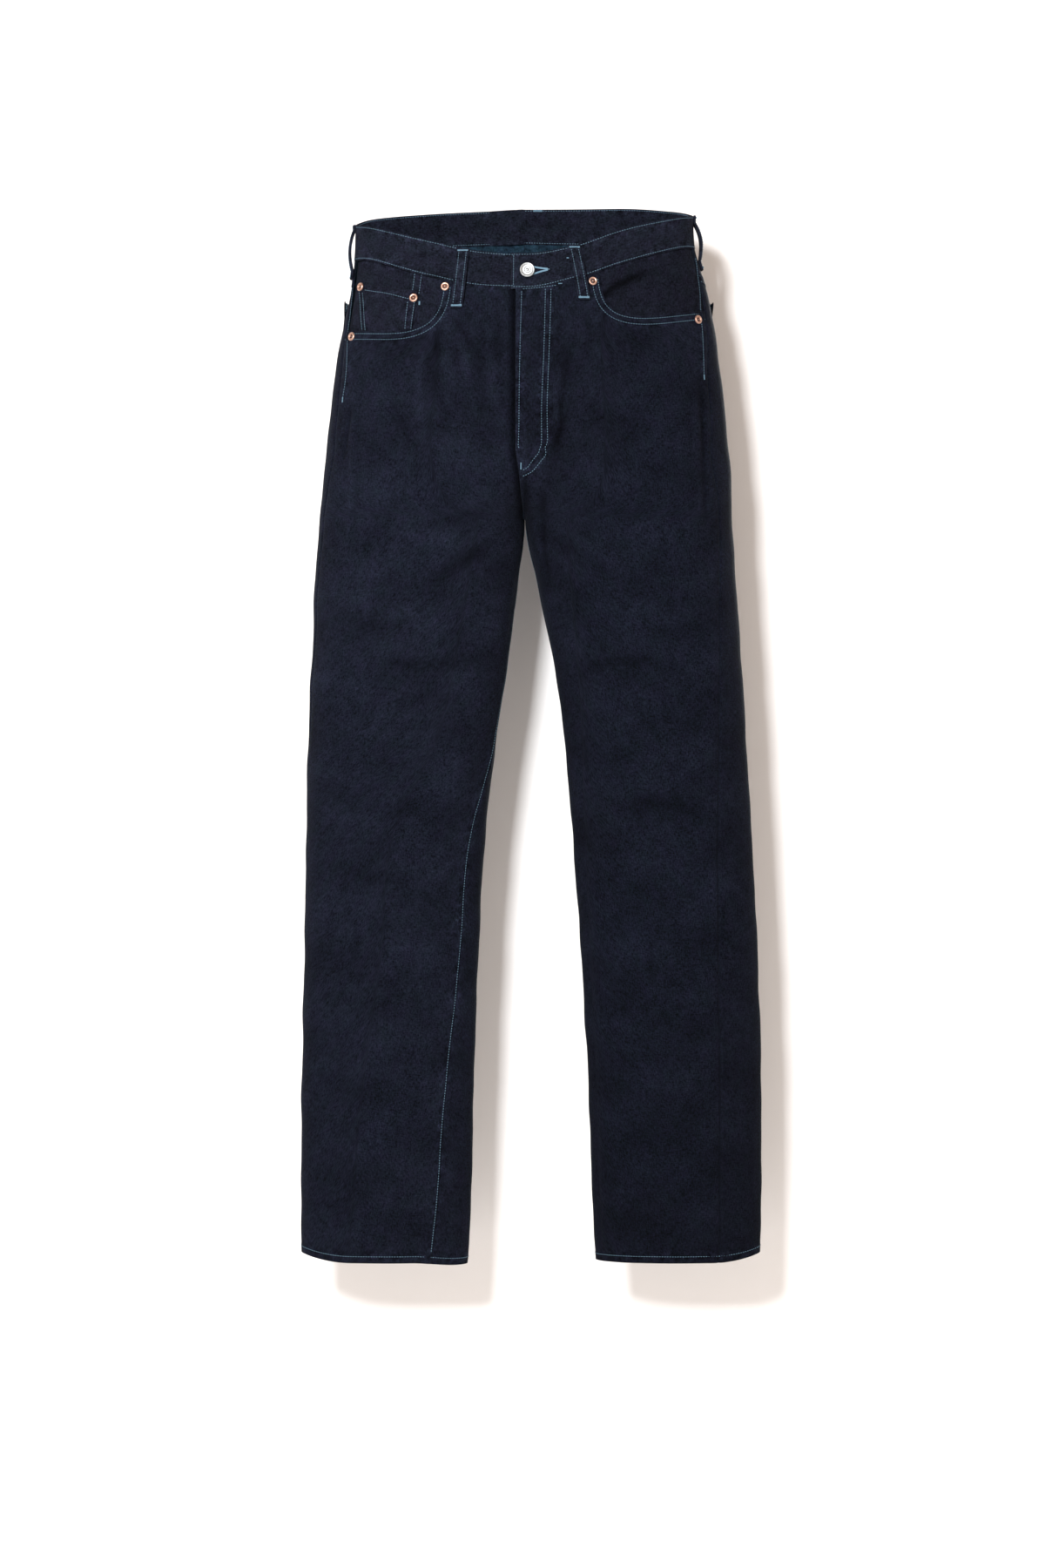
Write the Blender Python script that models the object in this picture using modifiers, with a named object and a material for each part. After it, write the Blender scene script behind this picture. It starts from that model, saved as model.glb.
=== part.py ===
"""Straight leg jeans, filled out and hanging as if worn, with no wearer.

Metres, +Z up, the front faces -Y and the wearer's right leg is at -X. The origin is the middle of the
waist opening, level with the middle of the waistband at the sides.

Every piece of cloth is laid out on one surface for each side of the body. A place on it is an angle
round the section (-90 at the centre front, 0 at the outermost point, +90 at the centre back; a leg
runs on to -180 and +180 at its inside) and a height. Cloth is a wall between two copies of that
surface, moved along its normal.
"""
import math

import bmesh
import bpy
import numpy as np
from mathutils import Vector

# Cloth thicknesses and the gap that neighbouring pieces keep.
GAP = 0.0003
LAYER_GAP = 0.0006
PATCH_GAP = 0.0009
DENIM = 0.0012
POCKET_DENIM = 0.0011
POCKETING = 0.0010
BAND_THICK = 0.0026
BAND_PROUD = 0.0007
LOOP_THICK = 0.0024
HEM_THICK = 0.0014

# Heights of the main lines of the cut.
FLY_END = -0.252
FRONT_CLOSES = -0.236
BACK_CLOSES = -0.142
CROTCH = -0.3116
HEM_LEVEL = -1.1420
HEM_RISE = 0.0085
HEM_TURN = 0.011

# How square the sections are: 0 is an ellipse.
SQUARE_BODY = 0.10
SQUARE_LEG = 0.04

# Sections of each side, from above the waist to below the hem. Columns: height, outermost x, innermost x
# (the crotch line is at 0), depth in front and behind at the middle of the side, angle of the side seam,
# turn of the leg.
SECTIONS_RIGHT = [
    (0.060, 0.1900, 0.0000, 0.0470, 0.0490, -5, 0),
    (0.000, 0.1905, 0.0000, 0.0485, 0.0520, -5, 0),
    (-0.030, 0.1925, 0.0000, 0.0510, 0.0580, -6, 0),
    (-0.060, 0.1965, 0.0000, 0.0545, 0.0660, -9, 0),
    (-0.095, 0.2045, 0.0000, 0.0590, 0.0745, -14, 0),
    (-0.142, 0.2130, 0.0000, 0.0632, 0.0825, -18, 0),
    (-0.215, 0.2215, 0.0000, 0.0675, 0.0945, -19, 0),
    (-0.262, 0.2265, 0.0000, 0.0692, 0.0955, -20, 0),
    (-0.3116, 0.2310, 0.0002, 0.0700, 0.0900, -20, 0),
    (-0.372, 0.2360, 0.0072, 0.0685, 0.0820, -20, 3),
    (-0.451, 0.2390, 0.0165, 0.0645, 0.0740, -20, 9),
    (-0.549, 0.2435, 0.0310, 0.0580, 0.0650, -20, 16),
    (-0.659, 0.2460, 0.0440, 0.0505, 0.0555, -20, 35),
    (-0.804, 0.2485, 0.0525, 0.0450, 0.0475, -20, 38),
    (-0.960, 0.2515, 0.0580, 0.0410, 0.0425, -20, 48),
    (-1.098, 0.2520, 0.0615, 0.0360, 0.0380, -20, 54),
    (-1.160, 0.2500, 0.0660, 0.0340, 0.0360, -20, 57),
]
SECTIONS_LEFT = [
    (0.060, 0.1880, 0.0000, 0.0470, 0.0490, -10, 0),
    (0.000, 0.1895, 0.0000, 0.0485, 0.0520, -11, 0),
    (-0.030, 0.1970, 0.0000, 0.0510, 0.0580, -13, 0),
    (-0.060, 0.2060, 0.0000, 0.0545, 0.0660, -17, 0),
    (-0.095, 0.2125, 0.0000, 0.0590, 0.0745, -20, 0),
    (-0.142, 0.2190, 0.0000, 0.0632, 0.0825, -24, 0),
    (-0.215, 0.2274, 0.0000, 0.0675, 0.0945, -27, 0),
    (-0.262, 0.2310, 0.0000, 0.0692, 0.0955, -30, 0),
    (-0.3116, 0.2330, 0.0002, 0.0700, 0.0900, -32, 0),
    (-0.372, 0.2362, 0.0115, 0.0685, 0.0820, -32, -4),
    (-0.451, 0.2421, 0.0285, 0.0645, 0.0740, -32, -10),
    (-0.549, 0.2480, 0.0430, 0.0580, 0.0650, -32, -16),
    (-0.659, 0.2545, 0.0525, 0.0505, 0.0555, -32, -22),
    (-0.804, 0.2617, 0.0630, 0.0450, 0.0475, -32, -27),
    (-0.960, 0.2656, 0.0715, 0.0410, 0.0425, -32, -29),
    (-1.098, 0.2656, 0.0765, 0.0360, 0.0380, -32, -30),
    (-1.160, 0.2610, 0.0810, 0.0340, 0.0360, -32, -30),
]
SECTIONS = {-1: SECTIONS_RIGHT, 1: SECTIONS_LEFT}
HEIGHT, OUTER, INNER, FRONT, BACK, SEAM, TURN = range(7)

# The waistband. Columns: angle, height of its top edge on the wearer's right, the same on the left,
# and how tall it stands on the right and on the left.
WAISTBAND = [
    (-110, -0.0250, -0.0223, 0.0355, 0.0377),
    (-90, -0.0250, -0.0223, 0.0355, 0.0377),
    (-75, -0.0170, -0.0155, 0.0408, 0.0332),
    (-60, -0.0060, 0.0015, 0.0402, 0.0345),
    (-30, 0.0112, 0.0225, 0.0357, 0.0340),
    (0, 0.0180, 0.0300, 0.0370, 0.0360),
    (30, 0.0318, 0.0375, 0.0378, 0.0378),
    (60, 0.0415, 0.0444, 0.0380, 0.0380),
    (90, 0.0468, 0.0468, 0.0380, 0.0380),
]

# Large soft troughs that the solids carry. Columns: side, angle and height at the upper end, angle and
# height at the lower end, depth, half-width.
TROUGHS = [
    (1, -75, -0.095, -81, -0.235, 0.0045, 0.016),
    (1, -81, -0.235, -80, -0.400, 0.0030, 0.022),
    (-1, -75, -0.640, -150, -0.480, 0.0022, 0.020),
    (1, -62, -0.590, -120, -0.700, 0.0022, 0.020),
    (-1, 110, -0.600, 40, -0.660, 0.0030, 0.020),
    (1, 110, -0.610, 40, -0.670, 0.0030, 0.020),
    (-1, 95, -0.345, 40, -0.300, 0.0035, 0.018),
    (1, 95, -0.345, 40, -0.300, 0.0035, 0.018),
]

# The fly: how far the left front laps past the centre, and the heights over which the lap ends.
LAP = 0.0110
LAP_END = (-0.238, -0.252)
UNDER_END = (-0.252, -0.276)
UNDER_RAMP = (0.034, 0.016)

# The scoop pockets by side. Columns: share of the half-width at the top end, height at the side seam,
# slope of the lower run, and how square the corner is.
SCOOP = {-1: (0.470, -0.1015, -0.105, 3.6), 1: (0.409, -0.0790, -0.185, 3.6)}
FACING_HIDDEN = 0.026
BAG_BOTTOM = -0.236
BAG_ROUND = 0.035
BAG_MIDDLE = -42
BAG_SPREAD = 30

# The yoke's seam, back pockets and belt loops.
YOKE_SEAM = (-0.049, -0.062)
BACK_POCKET = {"inner": 0.068, "top": 0.166, "bottom": 0.138, "side": 0.150, "point": 0.022,
               "top_outer": -0.066, "top_inner": -0.079}
LOOP_WIDTH = 0.0136
# Columns: name, side, angle at the top, angle at the foot, length, stand-off.
LOOPS = [
    ("belt_loop_front_right", -1, -70.8, -69.7, 0.068, 0.0030),
    ("belt_loop_front_left", 1, -75.1, -73.4, 0.060, 0.0030),
    ("belt_loop_side_right", -1, 2, 2, 0.056, 0.0032),
    ("belt_loop_side_left", 1, 2, 2, 0.060, 0.0062),
    ("belt_loop_back", 1, 90, 90, 0.060, 0.0056),
]

# The coin pocket: how deep it lies, shares of the half-width at its two upper corners, and heights.
COIN_OUT = -DENIM - LAYER_GAP
COIN = {"outer": 0.966, "inner": 0.608, "outer_foot": 0.880, "inner_foot": 0.610, "top_outer": -0.0460,
        "top_inner": -0.0600, "foot": -0.1200}

# The waistband's lap at the centre front, and the button.
OVER_END = -0.0098
UNDER_REACH = 0.0240
BAND_RAMP = (0.046, 0.018)
WAIST_HALF = 0.190
BUTTON_X = 0.0020
BUTTON_Z = -0.0399
BUTTON_RADIUS = 0.0086
RIVET_RADIUS = 0.0048
# Columns: name, side, share of the half-width, height, how far below the denim its seat lies.
RIVETS = [
    ("rivet_coin_outer", -1, 0.948, -0.0517, 0.0018),
    ("rivet_coin_inner", -1, 0.625, -0.0685, 0.0018),
    ("rivet_scoop_right_top", -1, 0.452, -0.0570, 0.0),
    ("rivet_scoop_right_side", -1, 0.933, -0.1085, 0.0),
    ("rivet_scoop_left_top", 1, 0.367, -0.0511, 0.0),
    ("rivet_scoop_left_side", 1, 0.909, -0.0900, 0.0),
]

# Finishes: base colour, roughness, metallic.
FINISHES = {
    "denim": ((0.013, 0.016, 0.030), 0.9, 0.0),
    "denim_band": ((0.018, 0.021, 0.036), 0.9, 0.0),
    "pocketing": ((0.55, 0.53, 0.47), 0.9, 0.0),
    "copper": ((0.62, 0.36, 0.25), 0.35, 1.0),
    "nickel": ((0.55, 0.56, 0.57), 0.32, 1.0),
}

# How many parts each piece is divided into.
FACE_STEPS = 5
SCOOP_STEPS = 12
BACK_STEPS = 15
BAND_STEPS = 56
LEG_ROWS = [-0.328, -0.356, -0.395, -0.445, -0.500, -0.555, -0.605, -0.655, -0.710, -0.780, -0.860,
            -0.940, -1.020, -1.085]
CROTCH_SHARES = (0.0, 0.24, 0.48, 0.72, 0.88, 1.0)
SEAT_ROWS = [-0.142, -0.170, -0.196, -0.218, -0.238]


# --- The surface ---

def column(side, index, z):
    """One column of the side's section table at the heights z, as a smooth curve through its rows."""
    table = np.array(SECTIONS[side], float)[::-1]
    return smooth(table[:, HEIGHT], table[:, index], z)


def smooth(knots, values, at):
    """Cubic through the rows whose slope at each row is the mean of its two neighbours' slopes, limited
    so that it never overshoots a row."""
    knots = np.asarray(knots, float)
    values = np.asarray(values, float)
    step = np.diff(knots)
    rise = np.diff(values) / step
    slope = np.zeros(len(knots))
    inside = (rise[1:] * step[:-1] + rise[:-1] * step[1:]) / (step[1:] + step[:-1])
    limit = 3 * np.minimum(abs(rise[1:]), abs(rise[:-1]))
    turning = rise[1:] * rise[:-1] <= 0
    slope[1:-1] = np.where(turning, 0, np.sign(inside) * np.minimum(abs(inside), limit))
    slope[0], slope[-1] = rise[0], rise[-1]
    at = np.clip(np.asarray(at, float), knots[0], knots[-1])
    k = np.clip(np.searchsorted(knots, at, side="right") - 1, 0, len(step) - 1)
    t = (at - knots[k]) / step[k]
    return ((1 + 2 * t) * (1 - t) ** 2 * values[k] + t * (1 - t) ** 2 * step[k] * slope[k]
            + t * t * (3 - 2 * t) * values[k + 1] - t * t * (1 - t) * step[k] * slope[k + 1])


def ramp(value, start, end):
    """0 at start, 1 at end, with level ends."""
    t = np.clip((np.asarray(value, float) - start) / (end - start), 0, 1)
    return t * t * (3 - 2 * t)


def closing(z, behind):
    """How far the section has closed into a leg: 0 above the seat, 1 at the crotch. It starts and ends
    gently, so that the centre line runs down, bends under and arrives level at the crotch."""
    top = np.where(behind, BACK_CLOSES, FRONT_CLOSES)
    t = np.clip((top - np.asarray(z, float)) / (top - CROTCH), 0, 1)
    return 1 - (1 - t ** 1.5) ** 1.3


def end_angle(z, behind):
    """Angle of the cloth's centre edge: 90 at the body, 180 at a leg's inside."""
    return 90 + np.degrees(np.arcsin(closing(z, behind)))


def bare_point(side, angle, z):
    """A point of the side's surface, as an array that ends in x, y, z. Cloth that laps past the centre
    front lies on the other side's surface."""
    angle, z = np.broadcast_arrays(np.asarray(angle, float), np.asarray(z, float))
    edge = end_angle(z, False)
    past = (angle < -edge) & (z > CROTCH)
    own = section_point(side, np.where(past, -edge, angle), z)
    other = section_point(-side, np.where(past, -2 * edge - angle, -edge), z)
    return np.where(past[..., None], other, own)


def section_point(side, angle, z):
    """A point of one side's section: an oval, squared off a little, that reaches from the innermost to
    the outermost x, or from the centre line while it is still closing."""
    turned = angle + np.where(z < CROTCH, column(side, TURN, z), 0)
    turned = (turned + 180) % 360 - 180
    turned = np.where((angle >= 180) & (z >= CROTCH), 180, turned)
    behind = turned > 0
    closed = closing(z, behind)
    edge = math.pi / 2 + np.arcsin(closed)
    square = SQUARE_BODY + (SQUARE_LEG - SQUARE_BODY) * closed
    outer = column(side, OUTER, z)
    inner = column(side, INNER, z)
    half = (outer - inner) / (1 - np.cos(edge) * (1 + square * np.sin(edge) ** 2))
    a = np.radians(turned)
    x = outer - half + half * np.cos(a) * (1 + square * np.sin(a) ** 2)
    middle = np.sqrt(1 - 0.25 * (1 - closed) ** 2)
    depth = np.where(behind, column(side, BACK, z), column(side, FRONT, z)) / middle
    y = depth * np.sin(a) * (1 + square * np.cos(a) ** 2)
    return np.stack([side * (x + GAP / 2), y, z], axis=-1)


def normal(side, angle, z):
    """The outward normal, from short steps round the section and down the surface."""
    turn, drop = 0.4, 0.0006
    round_step = bare_point(side, angle + turn, z) - bare_point(side, angle - turn, z)
    down_step = bare_point(side, angle, z - drop) - bare_point(side, angle, z + drop)
    n = np.cross(round_step, down_step) * -side
    return n / np.linalg.norm(n, axis=-1, keepdims=True)


def trough(side, point, angle, z):
    """Depth of the soft folds at each place: a bell-shaped dip on each side of a short line, fading to
    nothing at the line's ends."""
    depth = np.zeros(np.shape(z))
    for fold_side, angle_a, z_a, angle_b, z_b, most, half_width in TROUGHS:
        if fold_side != side:
            continue
        start = bare_point(side, angle_a, z_a)
        end = bare_point(side, angle_b, z_b)
        along = end - start
        share = np.clip((point - start) @ along / (along @ along), 0, 1)
        away = np.linalg.norm(point - start - share[..., None] * along, axis=-1)
        fade = np.sin(math.pi * (0.04 + 0.92 * share))
        depth = depth + most * fade * np.exp(-(away / half_width) ** 2)
    return depth


def lifted(side, angle, z, out):
    """The side's surface with its soft folds, moved out along the normal (in, where out is negative)."""
    angle, z = np.broadcast_arrays(np.asarray(angle, float), np.asarray(z, float))
    base = bare_point(side, angle, z)
    move = np.asarray(out, float) - trough(side, base, angle, z)
    return base + normal(side, angle, z) * move[..., None]


def share_at_angle(angle):
    """How far out the surface lies at an angle above the fly's end, as a share of the half-width."""
    a = np.radians(angle)
    return np.cos(a) * (1 + SQUARE_BODY * np.sin(a) ** 2)


def angle_at_share(share, side, z):
    """The angle on the front, above the fly's end, that lies at a share of the half-width."""
    angles = np.linspace(0, 90, 721)
    return -np.interp(-np.asarray(share, float), -share_at_angle(angles), angles)


def angle_from_back(distance, side, z):
    """The angle at a length of cloth from the centre back, round the section at height z."""
    angles = np.linspace(float(end_angle(z, True)), -40, 521)
    points = bare_point(side, angles, np.full(angles.shape, z))
    run = np.concatenate([[0], np.cumsum(np.linalg.norm(np.diff(points, axis=0), axis=1))])
    return np.interp(distance, run, angles)


def waist_top(side, angle):
    """Height of the waistband's top edge."""
    table = np.array(WAISTBAND, float)
    return smooth(table[:, 0], table[:, 1 if side < 0 else 2], angle)


def waist_bottom(side, angle):
    """Height of the waistband's lower edge."""
    table = np.array(WAISTBAND, float)
    return waist_top(side, angle) - smooth(table[:, 0], table[:, 3 if side < 0 else 4], angle)


def waist_seam(side, angle):
    """The panels' top edge: a gap below the waistband."""
    return waist_bottom(side, angle) - GAP


def seam_angle(side, z):
    return column(side, SEAM, z)


def trim(side, angle, z, halves):
    """The angle a few half gaps away from a seam, back along the section or forward."""
    size = np.linalg.norm(bare_point(side, angle + np.sign(halves), z) - bare_point(side, angle, z), axis=-1)
    return angle + halves * (GAP / 2) / np.maximum(size, 1e-5)


# --- Making solids ---

def finish(name):
    """The piece's own material, in its kind of finish."""
    kind = "denim"
    if name.startswith("rivet"):
        kind = "copper"
    elif name == "waist_button":
        kind = "nickel"
    elif name.startswith("pocket_bag"):
        kind = "pocketing"
    elif name == "waistband" or name.startswith("belt_loop"):
        kind = "denim_band"
    colour, roughness, metallic = FINISHES[kind]
    material = bpy.data.materials.new(name + "_finish")
    material.use_nodes = True
    shader = material.node_tree.nodes["Principled BSDF"]
    shader.inputs["Base Color"].default_value = (*colour, 1)
    shader.inputs["Roughness"].default_value = roughness
    shader.inputs["Metallic"].default_value = metallic
    return material


def add_object(name, mesh):
    piece = bpy.data.objects.new(name, mesh)
    mesh.materials.append(finish(name))
    jeans.objects.link(piece)
    mesh.shade_smooth()
    mesh.set_sharp_from_angle(angle=math.radians(40))
    return piece


def wall(name, outer, inner, ring=False):
    """A closed wall lofted between two grids of points, rows by columns. A ring's last column joins its
    first. The faces point out whichever way the grid runs."""
    rows, columns = outer.shape[:2]
    count = rows * columns
    points = np.concatenate([outer.reshape(-1, 3), inner.reshape(-1, 3)])
    across = columns if ring else columns - 1
    faces = []
    for i in range(rows - 1):
        for j in range(across):
            k = (j + 1) % columns
            a, b, c, d = i * columns + j, i * columns + k, (i + 1) * columns + k, (i + 1) * columns + j
            faces.append((a, b, c, d))
            faces.append((d + count, c + count, b + count, a + count))
    for j in range(across):
        k = (j + 1) % columns
        last = (rows - 1) * columns
        faces.append((k, j, j + count, k + count))
        faces.append((last + j, last + k, last + k + count, last + j + count))
    if not ring:
        for i in range(rows - 1):
            a, b = i * columns, (i + 1) * columns
            faces.append((a, b, b + count, a + count))
            a, b = a + columns - 1, b + columns - 1
            faces.append((b, a, a + count, b + count))
    mesh = bpy.data.meshes.new(name)
    mesh.from_pydata(points.tolist(), [], faces)
    shape = bmesh.new()
    shape.from_mesh(mesh)
    bmesh.ops.recalc_face_normals(shape, faces=shape.faces)
    shape.to_mesh(mesh)
    shape.free()
    return add_object(name, mesh)


def cloth(name, side, angle, z, out, thickness, ring=False):
    """A wall whose outer face is the side's surface moved out by out, at the grid's angles and heights."""
    out = np.broadcast_to(np.asarray(out, float), np.shape(z))
    return wall(name, lifted(side, angle, z, out), lifted(side, angle, z, out - thickness), ring)


def blend_rows(top, bottom, shares):
    """Rows between two lines: shares of the way from top down to bottom."""
    return top[None, :] + (bottom - top)[None, :] * np.asarray(shares)[:, None]


# --- The panels ---

def scoop_line(side):
    """The pocket opening as angles and heights, from its top end at the waist seam to the side seam: a
    squared-off quarter oval whose lower run slopes. Its points lie closest at the corner."""
    share_top, z_side, slope, square = SCOOP[side]
    angle_top = float(angle_at_share(share_top, side, z_side))
    angle_side = float(seam_angle(side, z_side))
    angle = angle_top + (angle_side - angle_top) * np.linspace(0, 1, SCOOP_STEPS + 1) ** 1.7
    share = share_at_angle(angle)
    inward = np.clip((share[-1] - share) / (share[-1] - share[0]), 0, 1)
    down = (1 - inward ** square) ** (1 / square)
    run = z_side + slope * (share[-1] - share) * float(column(side, OUTER, z_side))
    top = float(waist_seam(side, angle_top))
    return angle, top + (run - top) * down


def body_heights():
    """Heights of the rows that all panels share, from the seat down to the hem's turn."""
    crotch_rows = [FLY_END - (FLY_END - CROTCH) * math.sin(math.pi / 2 * s) for s in CROTCH_SHARES]
    return np.array(SEAT_ROWS + crotch_rows + LEG_ROWS)


def hem_height(side, angle):
    """The hem is cut level with the floor across the front, and a little higher at the outside."""
    x = abs(bare_point(side, angle, np.full(np.shape(angle), HEM_LEVEL))[..., 0])
    inner = float(column(side, INNER, HEM_LEVEL))
    outer = float(column(side, OUTER, HEM_LEVEL))
    return HEM_LEVEL + HEM_RISE * np.clip((x - inner) / (outer - inner), 0, 1)


def column_angles(top_angle, z, start, end):
    """Angles of a panel's columns at the heights z. Near the top they keep the spacing of the top line's
    angles, and below the seat they are evenly spaced between the edges start and end."""
    even = np.linspace(0, 1, len(top_angle))
    pinned = top_angle + (start - top_angle[0]) * (1 - even) + (end - top_angle[-1]) * even
    share = ramp(z, SEAT_ROWS[0] + 0.02, SEAT_ROWS[-1])
    return pinned * (1 - share) + (start + (end - start) * even) * share


def panel_grid(side, top_angle, top_z, upper_rows, first, last):
    """Angles and heights of a panel, from its top line down to the hem. first and last give its edges'
    angles at a height."""
    steps = len(top_angle)
    rows = list(upper_rows) + [np.full(steps, z) for z in body_heights()]
    z = np.array(rows)
    angle = np.array([column_angles(top_angle, row, first(row[0]), last(row[-1])) for row in z])
    hem_angle = column_angles(top_angle, np.full(steps, HEM_LEVEL), first(HEM_LEVEL), last(HEM_LEVEL))
    hem_z = hem_height(side, hem_angle)
    angle = np.concatenate([top_angle[None], angle, hem_angle[None], hem_angle[None]])
    z = np.concatenate([top_z[None], z, hem_z[None] + HEM_TURN, hem_z[None]])
    return angle, z


def degree_length(side, angle, z):
    """Length of cloth along one degree of the section."""
    return np.linalg.norm(bare_point(side, angle + 0.5, z) - bare_point(side, angle - 0.5, z), axis=-1)


def front_edge(side, z):
    """The front panel's centre edge: the left front laps past the centre down to the fly's end, and
    below the crotch this edge is the inside leg seam."""
    z = np.asarray(z, float)
    edge = -end_angle(z, False)
    inside = trim(side, edge, z, 1)
    if side > 0:
        past = LAP * (1 - ramp(z, *LAP_END)) / degree_length(1, edge + 2, z)
        inside = np.where(z > LAP_END[1], edge - past, inside)
    return inside


def under_lap(side, angle, z):
    """How far the right front drops in behind the lap, near the centre and above the fly's end."""
    if side > 0:
        return np.zeros(np.shape(z))
    x = abs(bare_point(side, angle, z)[..., 0])
    return -(DENIM + LAYER_GAP) * ramp(x, *UNDER_RAMP) * (1 - ramp(z, *UNDER_END))


def front_top(side):
    """The front panel's top line: along the waist seam, then down the pocket opening."""
    scoop_angle, scoop_z = scoop_line(side)
    centre = float(front_edge(side, waist_seam(side, -90.0)))
    strip = centre + LAP / float(degree_length(side, -88.0, waist_seam(side, -88.0)))
    face = np.concatenate([[centre], np.linspace(strip, scoop_angle[0], FACE_STEPS + 1)[:-1]])
    angle = np.concatenate([face, scoop_angle])
    z = np.concatenate([waist_seam(side, face), scoop_z])
    return angle, z


def front_last(side, z):
    return trim(side, seam_angle(side, z), z, -1)


def scoop_middle(side):
    """Height at the side seam halfway from the pocket opening to the seat, where both panels have a row."""
    return (SCOOP[side][1] + SEAT_ROWS[0]) / 2


def front_grid(side):
    """The front's columns. The first is its edge, and the second runs a lap's width inside it."""
    angle, z = front_top(side)
    angle[-1] = front_last(side, z[-1])
    middle = scoop_middle(side) + (z - z[-1]) * 0.5
    angle, z = panel_grid(side, angle, z, [middle], lambda z: front_edge(side, z), lambda z: front_last(side, z))
    angle[:, 1] = angle[:, 0] + LAP / degree_length(side, angle[:, 0] + 2, z[:, 0])
    return angle, z


def make_front(side):
    angle, z = front_grid(side)
    cloth("front_panel" + SIDE_NAME[side], side, angle, z, under_lap(side, angle, z), DENIM)


def yoke_seam(angle):
    """The yoke's lower seam dips from the side to the centre back."""
    share = np.clip(np.asarray(angle, float) / 90, -0.3, 1)
    return YOKE_SEAM[0] + (YOKE_SEAM[1] - YOKE_SEAM[0]) * share


def back_top(side):
    """Angles of the back's columns at the yoke seam, from the side seam to the centre back, closest
    together round the side."""
    start = float(seam_angle(side, YOKE_SEAM[0]))
    angle = start + (90 - start) * np.linspace(0, 1, BACK_STEPS + 1) ** 1.3
    angle[0] = trim(side, angle[0], YOKE_SEAM[0], 1)
    return angle


def back_grid(side):
    def first(z):
        return trim(side, seam_angle(side, z), z, 1)

    def last(z):
        edge = end_angle(z, behind=True)
        return np.where(edge > 91, trim(side, edge, z, -1), edge)

    angle = back_top(side)
    below_yoke = (YOKE_SEAM[1] + SCOOP[side][1]) / 2
    upper = [np.full(angle.shape, z) for z in (below_yoke, SCOOP[side][1], scoop_middle(side))]
    return panel_grid(side, angle, yoke_seam(angle) - GAP, upper, first, last)


def make_back(side):
    angle, z = back_grid(side)
    cloth("back_panel" + SIDE_NAME[side], side, angle, z, 0.0, DENIM)


def make_yoke(side):
    low = back_top(side)
    z = blend_rows(waist_seam(side, low), yoke_seam(low), np.linspace(0, 1, 3))
    angle = np.array([column_angles(low, row, trim(side, seam_angle(side, row[0]), row[0], 1), 90.0)
                      for row in z])
    cloth("yoke" + SIDE_NAME[side], side, angle, z, 0.0, DENIM)


# --- Pockets ---

def facing_out(side):
    """Seat of the pocket facing: behind the front, and behind the coin pocket on the right."""
    return COIN_OUT - POCKET_DENIM - LAYER_GAP if side < 0 else -DENIM - LAYER_GAP


def pocket_angles(side, z):
    """Columns of a patch behind the scoop: the front panel's own, out to just short of the side seam."""
    top_angle = front_top(side)[0]
    rows = [column_angles(top_angle, row, top_angle[0], trim(side, seam_angle(side, row[-1]), row[-1], -3))
            for row in z]
    return np.array(rows)


def make_pocket(side):
    name = SIDE_NAME[side]
    start = FACE_STEPS
    top_angle = front_top(side)[0]
    facing_foot = np.full(top_angle.shape, SCOOP[side][1] - FACING_HIDDEN)
    z = blend_rows(waist_seam(side, top_angle), facing_foot, np.linspace(0, 1, 5))
    angle = pocket_angles(side, z)
    cloth("pocket_facing" + name, side, angle[:, start:], z[:, start:], facing_out(side), POCKET_DENIM)

    round_off = np.clip(abs(top_angle - BAG_MIDDLE) / BAG_SPREAD, 0, 1) ** 3
    bag_foot = BAG_BOTTOM + BAG_ROUND * round_off
    z = np.concatenate([z, blend_rows(facing_foot, bag_foot, (0.25, 0.5, 0.75, 1))])
    angle = pocket_angles(side, z)
    out = facing_out(side) - POCKET_DENIM - LAYER_GAP
    cloth("pocket_bag" + name, side, angle[:, start:], z[:, start:], out, POCKETING)


def make_coin_pocket():
    side = -1
    even = np.linspace(0, 1, 10)
    ends = angle_at_share(np.array([COIN["inner"], COIN["outer"]]), side, 0)
    foot_ends = angle_at_share(np.array([COIN["inner_foot"], COIN["outer_foot"]]), side, 0)
    high = ends[0] + (ends[1] - ends[0]) * even
    low = foot_ends[0] + (foot_ends[1] - foot_ends[0]) * even
    shares = np.linspace(0, 1, 5)
    top = COIN["top_inner"] + (COIN["top_outer"] - COIN["top_inner"]) * even
    z = blend_rows(top, np.full(even.shape, COIN["foot"]), shares)
    cloth("coin_pocket", side, blend_rows(high, low, shares), z, COIN_OUT, POCKET_DENIM)


def make_back_pocket(side):
    """A patch pocket with a shallow point, laid out by lengths of cloth from the centre back. Its columns
    lie closest together at its outer edge, where the body turns."""
    shape = BACK_POCKET
    across = 1 - np.linspace(1, 0, 14) ** 1.4
    down = np.linspace(0, 1, 9)
    middle = shape["inner"] + shape["top"] / 2
    angle = np.zeros((len(down), len(across)))
    z = np.zeros_like(angle)
    for i, share in enumerate(down):
        width = shape["top"] + (shape["bottom"] - shape["top"]) * share
        distance = middle + (across - 0.5) * width
        top = shape["top_inner"] + (shape["top_outer"] - shape["top_inner"]) * across
        point = shape["point"] * (1 - abs(2 * across - 1))
        z[i] = top - share * (shape["side"] + point)
        for j in range(len(across)):
            angle[i, j] = angle_from_back(distance[j], side, z[i, j])
    cloth("back_pocket" + SIDE_NAME[side], side, angle, z, PATCH_GAP + DENIM, DENIM)


# --- Waistband, loops and hems ---

def band_angle(x):
    """The angle at the waist's front where the surface is x to the wearer's own side of the centre."""
    return -90 + math.degrees(math.asin(x / WAIST_HALF))


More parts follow.
